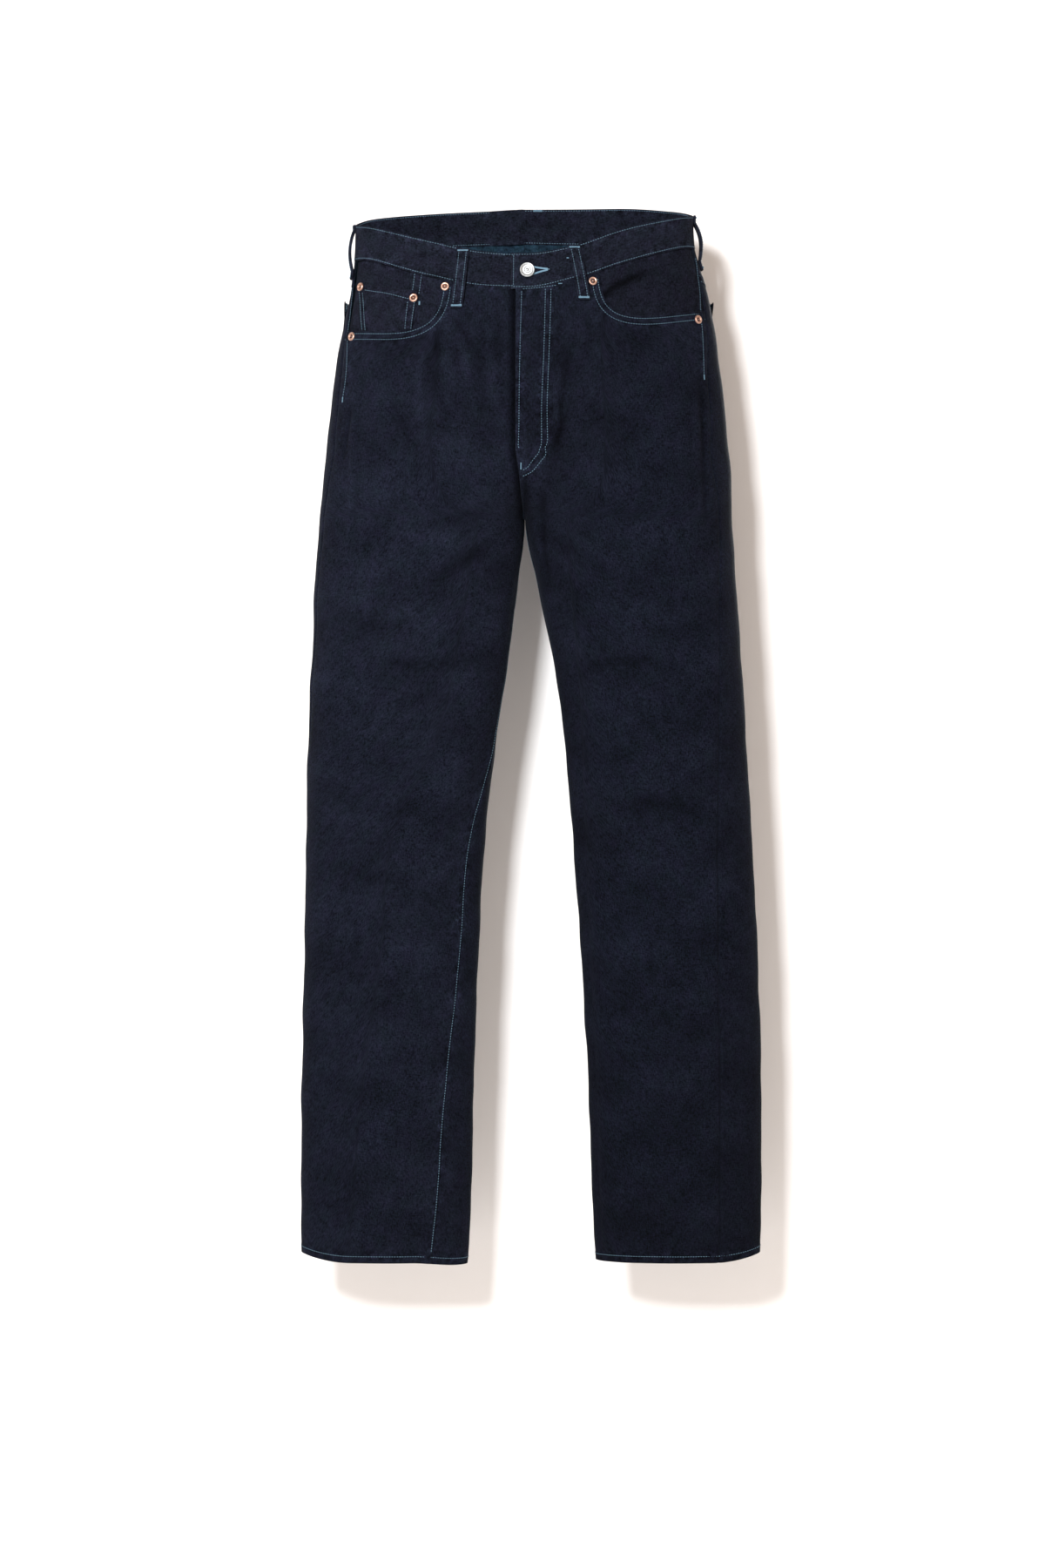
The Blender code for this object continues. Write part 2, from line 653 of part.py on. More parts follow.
def make_waistband():
    """One strip: from the over-end at the front, round by the wearer's left, the back and the right, to
    the under-end, which ramps in and runs on behind the over-end."""
    left = np.linspace(band_angle(OVER_END), 90, BAND_STEPS // 2)
    right = np.linspace(90, band_angle(-UNDER_REACH), BAND_STEPS // 2 + 3)[1:]
    outers, inners = [], []
    for side, angle in ((1, left), (-1, right)):
        z = blend_rows(waist_top(side, angle), waist_bottom(side, angle), (0, 0.5, 1))
        grid_angle = np.broadcast_to(angle, z.shape)
        x = side * bare_point(side, grid_angle, z)[..., 0]
        under = (BAND_THICK + GAP) * ramp(x, *BAND_RAMP) if side < 0 else 0.0
        outers.append(lifted(side, grid_angle, z, BAND_PROUD - under))
        inners.append(lifted(side, grid_angle, z, BAND_PROUD - under - BAND_THICK))
    outers[0][:, -1, 0] = 0.0
    inners[0][:, -1, 0] = 0.0
    wall("waistband", np.concatenate(outers, axis=1), np.concatenate(inners, axis=1))


def make_loop(name, side, top_angle, foot_angle, length, stand_off):
    """A strip tacked at the waistband's top edge and below its seam, bowed out between."""
    rows = np.linspace(0, 1, 9)
    across = np.linspace(-0.5, 0.5, 4)
    top = float(waist_top(side, top_angle)) - 0.0005
    z_middle = top - length * rows
    centre = top_angle + (foot_angle - top_angle) * rows
    seat = BAND_PROUD + GAP
    bow = np.sin(math.pi * np.clip((rows - 0.06) / 0.88, 0, 1)) ** 0.7
    out = seat + stand_off * bow + LOOP_THICK
    outers, inners = [], []
    for i, z in enumerate(z_middle):
        degree = np.linalg.norm(bare_point(side, centre[i], z) - bare_point(side, centre[i] - 1, z))
        angles = centre[i] + across * LOOP_WIDTH / degree
        if top_angle < 90:
            seat_points = lifted(side, angles, z, 0.0)
            away = normal(side, centre[i], z)
        else:
            spread = across * LOOP_WIDTH
            base = lifted(side, 90.0, z, 0.0)
            seat_points = base + np.stack([spread, np.zeros(4), np.zeros(4)], axis=1)
            away = np.array([0.0, 1.0, 0.0])
        inners.append(seat_points + away * (out[i] - LOOP_THICK))
        outers.append(seat_points + away * out[i])
    wall(name, np.array(outers), np.array(inners))


def make_hem(side):
    """The turned-up cloth: a ring just inside the leg's end, on the panels' own columns."""
    front = front_grid(side)[0][-1]
    back = back_grid(side)[0][-1]
    angle = np.concatenate([front, back[1:-1]])
    bottom = hem_height(side, angle)
    z = blend_rows(bottom + HEM_TURN, bottom, (0, 1))
    cloth("hem" + SIDE_NAME[side], side, np.broadcast_to(angle, z.shape), z, -(DENIM + GAP), HEM_THICK,
          ring=True)


# --- Button and rivets ---

def turned(name, profile, place, facing):
    """A profile of radius and height pairs turned round its axis, with that axis along facing."""
    mesh = bpy.data.meshes.new(name)
    mesh.from_pydata([(r, 0, h) for r, h in profile], [(i, i + 1) for i in range(len(profile) - 1)], [])
    mesh.materials.append(finish(name))
    piece = bpy.data.objects.new(name, mesh)
    jeans.objects.link(piece)
    screw = piece.modifiers.new("turn", "SCREW")
    screw.steps = screw.render_steps = 20
    screw.use_merge_vertices = True
    screw.merge_threshold = 0.00001
    piece.location = Vector(place)
    piece.rotation_mode = "QUATERNION"
    piece.rotation_quaternion = Vector(facing).to_track_quat("Z", "Y")
    return piece


def make_button():
    """A tack button: a dished cap with a raised rim and a small boss, on a short shank."""
    r = BUTTON_RADIUS
    angle = band_angle(BUTTON_X)
    away = normal(1, angle, BUTTON_Z)
    seat = lifted(1, angle, BUTTON_Z, BAND_PROUD + GAP)
    profile = [(0, 0.0044), (0.22 * r, 0.0043), (0.34 * r, 0.0036), (0.72 * r, 0.0035), (0.84 * r, 0.0042),
               (0.95 * r, 0.0040), (r, 0.0031), (0.93 * r, 0.0020), (0.45 * r, 0.0014), (0.40 * r, 0.0),
               (0, 0.0)]
    turned("waist_button", profile, seat, away)


def make_rivets():
    """Each rivet is a low burr ring round a pointed nail end."""
    r = RIVET_RADIUS
    profile = [(0, 0.0019), (0.22 * r, 0.0017), (0.34 * r, 0.0008), (0.55 * r, 0.0011), (0.80 * r, 0.0013),
               (r, 0.0006), (r, 0.0), (0, 0.0)]
    for name, side, share, z, below in RIVETS:
        angle = float(angle_at_share(share, side, z))
        degree = np.linalg.norm(bare_point(side, angle + 1, z) - bare_point(side, angle, z))
        rim = np.array([[angle + k * r / degree, z + j * r] for k, j in
                        ((1, 0), (-1, 0), (0, 1), (0, -1), (0.7, 0.7), (-0.7, 0.7), (0.7, -0.7), (-0.7, -0.7),
                         (0, 0))])
        away = normal(side, angle, z)
        around = lifted(side, rim[:, 0], rim[:, 1], -below)
        centre = lifted(side, angle, z, -below)
        proud = float(((around - centre) @ away).max())
        turned(name, profile, centre + away * (proud + GAP), away)


# --- Assembly ---

for old in list(bpy.data.objects):
    bpy.data.objects.remove(old)
jeans = bpy.data.collections.new("straight_leg_jeans")
bpy.context.scene.collection.children.link(jeans)
SIDE_NAME = {-1: "_right", 1: "_left"}

for body_side in (-1, 1):
    make_front(body_side)
    make_back(body_side)
    make_yoke(body_side)
    make_pocket(body_side)
    make_back_pocket(body_side)
    make_hem(body_side)
make_coin_pocket()
make_waistband()
for loop_row in LOOPS:
    make_loop(*loop_row)
make_button()
make_rivets()
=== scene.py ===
# %% [markdown]
# # Straight leg jeans
# A pair of dark indigo jeans, filled out and hanging from the waist, with nobody in them. A maker cuts
# them from flat denim: two fronts, two backs, two yokes, a waistband, five belt loops and the pockets.
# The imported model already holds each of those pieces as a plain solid. Here each one gets a fine surface
# in the same place, then its sewing, its metal and its finish. We load the model first, because every
# piece has to sit where its solid sits.

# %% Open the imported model
import math

import bpy
import numpy as np
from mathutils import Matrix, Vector


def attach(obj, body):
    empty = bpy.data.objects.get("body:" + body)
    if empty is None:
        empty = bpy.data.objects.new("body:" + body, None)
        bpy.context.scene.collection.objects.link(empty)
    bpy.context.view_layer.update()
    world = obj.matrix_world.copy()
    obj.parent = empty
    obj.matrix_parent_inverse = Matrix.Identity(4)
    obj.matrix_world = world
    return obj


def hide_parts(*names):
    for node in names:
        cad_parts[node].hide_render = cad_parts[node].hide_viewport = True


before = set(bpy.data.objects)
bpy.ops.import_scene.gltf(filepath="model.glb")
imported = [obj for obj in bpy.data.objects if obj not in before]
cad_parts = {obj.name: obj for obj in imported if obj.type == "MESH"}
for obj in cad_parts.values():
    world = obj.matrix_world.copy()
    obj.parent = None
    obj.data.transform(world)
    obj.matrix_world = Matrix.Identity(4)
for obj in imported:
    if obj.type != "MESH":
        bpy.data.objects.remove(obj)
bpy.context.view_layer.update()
DETAIL = 1.0
print("solids:", len(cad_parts), "detail:", DETAIL)

# %% [markdown]
# ## The camera
# The jeans are looked at square on, from 3.6 m in front and level with the thighs, so that a metre at
# the side seams fills the same share of the frame as it would in a catalogue.

# %% Camera
FRAME_ROWS, ROW_SIZE, SENSOR, CAMERA_AWAY = 1800, 0.00098, 36.0, 3.6
scene = bpy.context.scene


def linked(name, data):
    """A new object in the scene, with this mesh, light or camera."""
    found = bpy.data.objects.new(name, data)
    scene.collection.objects.link(found)
    return found


camera_data = bpy.data.cameras.new("catalogue_camera")
camera_data.sensor_fit = "VERTICAL"
camera_data.sensor_height = SENSOR
camera_data.lens = SENSOR * CAMERA_AWAY / (FRAME_ROWS * ROW_SIZE)
camera = linked("catalogue_camera", camera_data)
camera.location = (-0.003, -CAMERA_AWAY, -0.6076)
camera.rotation_euler = (math.pi / 2, 0, 0)
scene.camera = camera
scene.view_settings.view_transform = "Standard"
print("lens mm", round(camera_data.lens, 1))

# %% [markdown]
# ## The sizes of the cut
# These are the pattern's own numbers, in metres: how thick each cloth is, how high its main lines lie,
# and the outline of each leg at seventeen heights. The solids were made from the same numbers.

# %% Sizes
GAP, LAYER_GAP, PATCH_GAP = 0.0003, 0.0006, 0.0009
DENIM, POCKET_DENIM, POCKETING = 0.0012, 0.0011, 0.0010
BAND_THICK, BAND_PROUD, LOOP_THICK, HEM_THICK = 0.0026, 0.0007, 0.0024, 0.0014
FRONT_CLOSES, BACK_CLOSES, CROTCH = -0.236, -0.142, -0.3116
HEM_LEVEL, HEM_RISE, HEM_TURN = -1.1420, 0.0085, 0.011
SQUARE_BODY, SQUARE_LEG = 0.10, 0.04

# Columns: height, depth in front, depth behind, then for the wearer's right and again for the left the
# outermost x, the innermost x, the side seam's angle and the leg's turn.
SECTION_ROWS = np.array([
    (0.06, 0.047, 0.049, 0.19, 0, -5, 0, 0.188, 0, -10, 0),
    (0, 0.0485, 0.052, 0.1905, 0, -5, 0, 0.1895, 0, -11, 0),
    (-0.03, 0.051, 0.058, 0.1925, 0, -6, 0, 0.197, 0, -13, 0),
    (-0.06, 0.0545, 0.066, 0.1965, 0, -9, 0, 0.206, 0, -17, 0),
    (-0.095, 0.059, 0.0745, 0.2045, 0, -14, 0, 0.2125, 0, -20, 0),
    (-0.142, 0.0632, 0.0825, 0.213, 0, -18, 0, 0.219, 0, -24, 0),
    (-0.215, 0.0675, 0.0945, 0.2215, 0, -19, 0, 0.2274, 0, -27, 0),
    (-0.262, 0.0692, 0.0955, 0.2265, 0, -20, 0, 0.231, 0, -30, 0),
    (-0.3116, 0.07, 0.09, 0.231, 0.0002, -20, 0, 0.233, 0.0002, -32, 0),
    (-0.372, 0.0685, 0.082, 0.236, 0.0072, -20, 1, 0.2362, 0.0115, -32, -4),
    (-0.451, 0.0645, 0.074, 0.239, 0.0165, -20, 4, 0.2421, 0.0285, -32, -10),
    (-0.549, 0.058, 0.065, 0.2435, 0.031, -20, 9, 0.248, 0.043, -32, -16),
    (-0.659, 0.0505, 0.0555, 0.246, 0.044, -20, 32, 0.2545, 0.0525, -32, -22),
    (-0.804, 0.045, 0.0475, 0.2485, 0.0525, -20, 38, 0.2617, 0.063, -32, -27),
    (-0.96, 0.041, 0.0425, 0.2515, 0.058, -20, 48, 0.2656, 0.0715, -32, -29),
    (-1.098, 0.036, 0.038, 0.252, 0.0615, -20, 54, 0.2656, 0.0765, -32, -30),
    (-1.16, 0.034, 0.036, 0.25, 0.066, -20, 57, 0.261, 0.081, -32, -30)])
SECTIONS = {-1: SECTION_ROWS[:, [0, 3, 4, 1, 2, 5, 6]], 1: SECTION_ROWS[:, [0, 7, 8, 1, 2, 9, 10]]}
OUTER, INNER, FRONT, BACK, SEAM, TURN = range(1, 7)

# The waistband's columns: angle, its top edge on the wearer's right and left, its height right and left.
WAISTBAND = np.array([
    (-110, -0.0200, -0.0195, 0.0390, 0.0405), (-90, -0.0200, -0.0195, 0.0390, 0.0405),
    (-75, -0.0165, -0.0105, 0.0402, 0.0375), (-60, -0.0052, 0.0065, 0.0403, 0.0375),
    (-30, 0.0135, 0.0243, 0.0378, 0.0355), (0, 0.0211, 0.0315, 0.0401, 0.0375),
    (30, 0.0335, 0.0415, 0.0395, 0.0418), (60, 0.0425, 0.0484, 0.0390, 0.0420),
    (90, 0.0487, 0.0487, 0.0399, 0.0399)])
SCOOP = {-1: (0.470, -0.1015, -0.105, 3.6), 1: (0.409, -0.0790, -0.185, 3.6)}
LAP = 0.0110
YOKE_SEAM = (-0.049, -0.062)
SIDE_NAME = {-1: "_right", 1: "_left"}
print("waist to hem mm", round(1000 * (WAISTBAND[:, 1].max() - HEM_LEVEL)))

# %% [markdown]
# ## One surface under all the cloth
# Every panel lies on the same body surface, so that cloths which lie on each other never cross. A place
# on it is a side (-1 for the wearer's right), an angle round the section (-90 at the centre front, 0 at
# the hip, 90 at the centre back) and a height. Below the seat each half closes into a leg, and the angle
# then runs on to -180 and 180 at the leg's inside.

# %% Curves through the tables
def unit(vectors):
    """The vectors along the last axis, each made one long."""
    return vectors / np.maximum(np.linalg.norm(vectors, axis=-1, keepdims=True), 1e-12)


def smooth(knots, values, at):
    """A cubic through the rows. Its slope at a row is the weighted mean of the two spans' slopes, held
    to three times the flatter one, and level where they turn, so that it never overshoots."""
    step = np.diff(knots)
    rise = np.diff(values) / step
    slope = np.zeros(len(knots))
    inside = (rise[1:] * step[:-1] + rise[:-1] * step[1:]) / (step[1:] + step[:-1])
    limit = 3 * np.minimum(abs(rise[1:]), abs(rise[:-1]))
    slope[1:-1] = np.where(rise[1:] * rise[:-1] <= 0, 0, np.sign(inside) * np.minimum(abs(inside), limit))
    slope[0], slope[-1] = rise[0], rise[-1]
    at = np.clip(np.asarray(at, float), knots[0], knots[-1])
    k = np.clip(np.searchsorted(knots, at, side="right") - 1, 0, len(step) - 1)
    t = (at - knots[k]) / step[k]
    return ((1 + 2 * t) * (1 - t) ** 2 * values[k] + t * (1 - t) ** 2 * step[k] * slope[k]
            + t * t * (3 - 2 * t) * values[k + 1] - t * t * (1 - t) * step[k] * slope[k + 1])


def column(side, index, z):
    """One column of a side's table at the heights z."""
    table = SECTIONS[side][::-1]
    return smooth(table[:, 0], table[:, index], z)


def ramp(value, start, end):
    """0 at start, 1 at end, with level ends: 3t squared minus 2t cubed."""
    t = np.clip((np.asarray(value, float) - start) / (end - start), 0, 1)
    return t * t * (3 - 2 * t)


def closing(z, behind):
    """How far the section has closed into a leg: 1 - (1 - t^1.5)^1.3, with t running down to the crotch."""
    top = np.where(behind, BACK_CLOSES, FRONT_CLOSES)
    t = np.clip((top - np.asarray(z, float)) / (top - CROTCH), 0, 1)
    return 1 - (1 - t ** 1.5) ** 1.3


def end_angle(z, behind):
    """Angle of the cloth's centre edge: 90 at the body, 180 at a leg's inside."""
    return 90 + np.degrees(np.arcsin(closing(z, behind)))


print("crotch closes from", FRONT_CLOSES, "in front and", BACK_CLOSES, "behind")

# %% The body surface
def section_point(side, angle, z):
    """x = outer - half + half cos a (1 + q sin^2 a), y = depth sin a (1 + q cos^2 a): an oval squared off
    by q, that reaches from the innermost to the outermost x."""
    turned = angle + np.where(z < CROTCH, column(side, TURN, z), 0)
    turned = (turned + 180) % 360 - 180
    turned = np.where((angle >= 180) & (z >= CROTCH), 180, turned)
    behind = turned > 0
    closed = closing(z, behind)
    edge = math.pi / 2 + np.arcsin(closed)
    square = SQUARE_BODY + (SQUARE_LEG - SQUARE_BODY) * closed
    outer, inner = column(side, OUTER, z), column(side, INNER, z)
    half = (outer - inner) / (1 - np.cos(edge) * (1 + square * np.sin(edge) ** 2))
    a = np.radians(turned)
    x = outer - half + half * np.cos(a) * (1 + square * np.sin(a) ** 2)
    middle = np.sqrt(1 - 0.25 * (1 - closed) ** 2)
    depth = np.where(behind, column(side, BACK, z), column(side, FRONT, z)) / middle
    y = depth * np.sin(a) * (1 + square * np.cos(a) ** 2)
    return np.stack([side * (x + GAP / 2), y, z], axis=-1)


def bare_point(side, angle, z):
    """A point of the surface. Cloth that laps past the centre front lies on the other side's surface."""
    angle, z = np.broadcast_arrays(np.asarray(angle, float), np.asarray(z, float))
    edge = end_angle(z, False)
    past = (angle < -edge) & (z > CROTCH)
    own = section_point(side, np.where(past, -edge, angle), z)
    other = section_point(-side, np.where(past, -2 * edge - angle, -edge), z)
    return np.where(past[..., None], other, own)


def normal(side, angle, z):
    """The outward normal: the cross product of a short step round the section and one down it."""
    turn, drop = 0.4, 0.0006
    round_step = bare_point(side, angle + turn, z) - bare_point(side, angle - turn, z)
    down_step = bare_point(side, angle, z - drop) - bare_point(side, angle, z + drop)
    return unit(np.cross(round_step, down_step) * -side)


def degree_length(side, angle, z):
    """Length of cloth along one degree of the section."""
    return np.linalg.norm(bare_point(side, angle + 0.5, z) - bare_point(side, angle - 0.5, z), axis=-1)


def angle_at(side, x, z, behind=False):
    """The angle where the surface lies x to the wearer's own side of the middle, in front or behind. The
    angles of half a turn are measured and read backwards. A negative x lies past the centre front."""
    if x < 0:
        return -2 * float(end_angle(z, False)) - angle_at(-side, -x, z)
    angles = np.linspace(-179.5, 179.5, 719)
    points = section_point(side, angles, np.full(angles.shape, z))
    wanted = (points[:, 1] > 0) if behind else (points[:, 1] <= 0)
    if z > CROTCH:
        wanted &= abs(angles) <= end_angle(z, behind)
    order = np.argsort(points[wanted][:, 0] * side)
    around = np.unwrap(angles[wanted][order], period=360)
    return float(np.interp(x, points[wanted][order][:, 0] * side, around))


print("hip round mm", round(1000 * sum(
    float(degree_length(s, np.arange(-89.5, 90), np.full(180, -0.2)).sum()) for s in (-1, 1))))

# %% [markdown]
# ## Folds
# Denim this heavy folds in a few broad waves. The largest are in the solids already: a drag from the fly
# to the hip, and bends at the knees and under the seat. The smaller ones are placed here, each as a line
# on the cloth with a depth and a half width. A fold dips along its line and rises a little on both sides,
# because the cloth has to go somewhere.

# %% Fold tables
# Large: side, angle and height at one end, the same at the other, depth, half width.
TROUGHS = [
    (1, -75, -0.095, -81, -0.235, 0.0045, 0.016), (1, -81, -0.235, -80, -0.400, 0.0030, 0.022),
    (-1, -75, -0.640, -150, -0.480, 0.0022, 0.020), (1, -62, -0.590, -120, -0.700, 0.0022, 0.020),
    (-1, 110, -0.600, 40, -0.660, 0.0030, 0.020), (1, 110, -0.610, 40, -0.670, 0.0030, 0.020),
    (-1, 95, -0.345, 40, -0.300, 0.0035, 0.018), (1, 95, -0.345, 40, -0.300, 0.0035, 0.018)]
# Small, by side and whether they lie behind, in millimetres: depth, half width, then x and height of each
# point of the line. A negative depth is a ridge.
CREASES = {
    (-1, False): [(1.8, 5, (95, -104), (98, -120), (97, -140)),
        (1.9, 4.5, (80, -92), (67, -110), (54, -134)), (1.5, 5, (77, -117), (76, -140), (74, -164)),
        (1.5, 9, (54, -104), (51, -150), (44, -205)), (1.1, 9, (100, -130), (99, -165), (88, -215)),
        (1, 7, (30, -70), (30, -130), (22, -190)), (-1.4, 4.5, (191, -145), (192, -250), (198, -360)),
        (2.2, 2.6, (192, -181), (197, -212), (202.5, -250)),
        (-1.1, 6, (116, -120), (118, -170), (112, -230)),
        (1.6, 11, (10, -318), (60, -356), (112, -392)), (1.2, 9, (30, -300), (80, -318), (130, -322)),
        (1.3, 9, (166, -470), (100, -476), (38, -466)), (0.9, 9, (60, -520), (110, -512), (160, -522)),
        (0.9, 12, (210, -620), (150, -640), (100, -628)), (1, 9, (200, -420), (160, -436), (120, -430)),
        (0.9, 8, (150, -150), (140, -200), (120, -240)),
        (0.8, 10, (110, -700), (160, -712), (215, -700))],
    (-1, True): [(1.8, 9, (22, -300), (70, -330), (130, -326)),
        (1.3, 9, (40, -372), (100, -384), (160, -372)), (1.4, 8, (70, -560), (130, -548), (190, -566)),
        (1.1, 9, (80, -700), (140, -712), (200, -696))],
    (1, False): [(3, 6.5, (49, -118), (44, -190), (24, -276)),
        (-1.6, 4, (45, -134), (34, -180), (38, -226)), (1.6, 5, (21, -280), (20, -320), (26, -384)),
        (-0.9, 4.5, (9, -286), (10, -316), (16, -350)), (1.2, 5, (66, -78), (71, -108), (66, -140)),
        (1.6, 10, (14, -322), (56, -352), (100, -384)),
        (2.2, 4.5, (195, -156), (198, -230), (200, -320)),
        (1.1, 9, (60, -480), (120, -470), (180, -486)), (0.9, 11, (90, -640), (150, -628), (210, -650)),
        (0.9, 9, (120, -430), (165, -440), (215, -430)),
        (0.8, 10, (80, -300), (120, -312), (160, -300))],
    (1, True): [(-1.4, 4.5, (210, -150), (215, -240), (221, -330)),
        (1.8, 9, (22, -300), (70, -332), (132, -330)), (1.3, 9, (44, -374), (104, -388), (164, -378)),
        (1.4, 8, (76, -566), (136, -552), (200, -570)), (1.1, 9, (90, -706), (150, -718), (214, -700))]}


def crease_paths():
    """Each crease line as 3-D points, 24 steps to a span, with its depth and half width."""
    found = []
    for (side, behind), rows in CREASES.items():
        for depth, half_width, *points in rows:
            knots = np.array([bare_point(side, angle_at(side, x / 1000, z / 1000, behind), z / 1000)
                              for x, z in points])
            t = np.linspace(0, 2, 49)
            line = np.stack([smooth(np.arange(3.0), knots[:, i], t) for i in range(3)], axis=1)
            found.append((side, line, depth / 1000, half_width / 1000))
    return found


crease_lines = crease_paths()
print("folds:", len(TROUGHS), "large and", len(crease_lines), "small")

# %% The relief of the folds
def trough(side, point):
    """Depth of the large folds: most sin(pi share) exp(-(away / half width)^2) along each line."""
    depth = np.zeros(point.shape[:-1])
    for fold_side, angle_a, z_a, angle_b, z_b, most, half_width in TROUGHS:
        if fold_side == side:
            start, end = bare_point(side, angle_a, z_a), bare_point(side, angle_b, z_b)
            along = end - start
            share = np.clip((point - start) @ along / (along @ along), 0, 1)
            away = np.linalg.norm(point - start - share[..., None] * along, axis=-1)
            depth += most * np.sin(math.pi * (0.04 + 0.92 * share)) * np.exp(-(away / half_width) ** 2)
    return depth


def small_folds(side, point):
    """Sum over the creases of depth (1 - 0.55 s^2) exp(-s^2), where s is the distance to the line over
    its half width, faded at the line's ends. Broad waves of half a millimetre are added to it."""
    depth = np.zeros(point.shape[:-1])
    for fold_side, line, most, half_width in crease_lines:
        near = (fold_side == side) & (abs(point[..., 2] - line[:, 2].mean()) < 0.16)
        if not near.any():
            continue
        some = point[near]
        away = np.linalg.norm(some[:, None, :] - line[None, :, :], axis=-1)
        nearest = away.argmin(axis=1)
        s = away.min(axis=1) / half_width
        fade = np.sin(math.pi * np.clip(nearest / (len(line) - 1), 0.03, 0.97)) ** 0.6
        depth[near] += most * fade * (1 - 0.55 * s * s) * np.exp(-s * s)
    x, y, z = point[..., 0], point[..., 1], point[..., 2]
    waves = (np.sin(61 * z + 23 * x + 1.1 + 2 * np.sin(17 * x)) * np.sin(38 * x - 9 * z + 14 * y)
             + 0.6 * np.sin(103 * z - 47 * x + 0.6) * np.sin(71 * x + 31 * z + 2.2))
    calm = ramp(z, -0.03, -0.12)
    return depth + 0.00055 * waves * calm


def lifted(side, angle, z, out):
    """The surface with its folds, moved out along the normal (in, where out is negative)."""
    angle, z = np.broadcast_arrays(np.asarray(angle, float), np.asarray(z, float))
    base = bare_point(side, angle, z)
    move = np.asarray(out, float) - trough(side, base) - small_folds(side, base)
    return base + normal(side, angle, z) * move[..., None]


deepest = small_folds(1, bare_point(1, np.full(200, -70.0), np.linspace(-0.05, -0.5, 200))).max()
print("deepest small fold mm", round(1000 * deepest, 2))

# %% [markdown]
# ## From a grid of points to a piece of cloth
# A piece of cloth is a thin wall: a grid of points for its face, the same grid moved in for its back,
# and a rounded rim between them. A modifier could thicken it, but then the layers on it would not know
# where its surface is, so both faces come from the same formula. The face and the back get different
# finishes, because denim is dark outside and pale inside.

# %% Meshes from arrays
def piece_from(name, points, quads, uv, slots):
    """A piece from arrays: quads of point numbers, one uv to a point and one finish number to a quad. The
    sum of the corners' triple products is six times the volume, and turns the faces if it is negative.
    Everything on the jeans is sewn or riveted to one body."""
    a, b, c, d = (points[quads[:, i]] for i in range(4))
    volume = np.einsum("ij,ij->", a, np.cross(b, c)) + np.einsum("ij,ij->", a, np.cross(c, d))
    if volume < 0:
        quads = quads[:, ::-1]
    mesh = bpy.data.meshes.new(name)
    mesh.vertices.add(len(points))
    mesh.vertices.foreach_set("co", points.astype(np.float32).ravel())
    mesh.loops.add(quads.size)
    mesh.loops.foreach_set("vertex_index", quads.astype(np.int32).ravel())
    mesh.polygons.add(len(quads))
    mesh.polygons.foreach_set("loop_start", np.arange(0, quads.size, 4, dtype=np.int32))
    mesh.polygons.foreach_set("material_index", slots.astype(np.int32))
    mesh.update(calc_edges=True)
    layer = mesh.uv_layers.new(name="cloth")
    layer.data.foreach_set("uv", uv[quads.ravel()].astype(np.float32).ravel())
    mesh.shade_smooth()
    mesh.validate()
    piece = linked(name, mesh)
    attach(piece, "root")
    return piece


def grid_quads(rows, columns, ring=False):
    """Quads of a grid whose points are numbered along its rows."""
    across = columns if ring else columns - 1
    i, j = np.meshgrid(np.arange(rows - 1), np.arange(across), indexing="ij")
    k = (j + 1) % columns
    return np.stack([i * columns + j, i * columns + k, (i + 1) * columns + k, (i + 1) * columns + j],
                    axis=-1).reshape(-1, 4)


def borders(rows, columns, ring):
    """Row and column numbers round the grid's edge, as closed loops."""
    if ring:
        j = np.arange(columns)
        return [(np.zeros(columns, int), j), (np.full(columns, rows - 1), j[::-1])]
    right, down = np.arange(columns - 1), np.arange(rows - 1)
    i = np.concatenate([np.zeros(columns - 1, int), down, np.full(columns - 1, rows - 1), down[::-1] + 1])
    j = np.concatenate([right, np.full(rows - 1, columns - 1), right[::-1] + 1, np.zeros(rows - 1, int)])
    return [(i, j)]


PIECES = {}


def cloth_piece(name, node, outer, inner, uv, ring=False, roundness=0.35):
    """A wall between two grids, in the place of one solid. At the edge both faces draw back by a share of
    the thickness, and a row half way between them stays, so that the rim is round."""
    rows, columns = outer.shape[:2]
    outer, inner = outer.copy(), inner.copy()
    count = rows * columns
    quads = [grid_quads(rows, columns, ring), grid_quads(rows, columns, ring)[:, ::-1] + count]
    slots = [np.zeros(len(quads[0])), np.ones(len(quads[1]))]
    rims, rim_uv, base = [], [], 2 * count
    for i, j in borders(rows, columns, ring):
        ni = np.clip(i, 1, rows - 2) if rows > 2 else i
        nj = j if ring else np.clip(j, 1, columns - 2)
        edge_out, edge_in = outer[i, j], inner[i, j]
        away = edge_out - outer[ni, nj]
        thick = np.linalg.norm(edge_out - edge_in, axis=1, keepdims=True)
        length = np.linalg.norm(away, axis=1, keepdims=True)
        away = away / np.maximum(length, 1e-9)
        back = np.minimum(roundness * thick, 0.6 * length)
        rims.append((edge_out + edge_in) / 2)
        rim_uv.append(uv[i, j])
        outer[i, j], inner[i, j] = edge_out - away * back, edge_in - away * back
        n = len(i)
        ring_now, ring_next = np.arange(n), (np.arange(n) + 1) % n
        flat = i * columns + j
        quads.append(np.stack([flat[ring_next], flat[ring_now], base + ring_now, base + ring_next], axis=1))
        quads.append(np.stack([base + ring_next, base + ring_now, flat[ring_now] + count,
                               flat[ring_next] + count], axis=1))
        slots += [np.zeros(n), np.zeros(n)]
        base += n
    points = np.concatenate([outer.reshape(-1, 3), inner.reshape(-1, 3), *rims])
    flat_uv = np.concatenate([uv.reshape(-1, 2), uv.reshape(-1, 2), *rim_uv])
    piece = piece_from(name, points, np.concatenate(quads), flat_uv, np.concatenate(slots))
    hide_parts(node)
    PIECES[name] = {"object": piece, "outer": outer}
    return piece


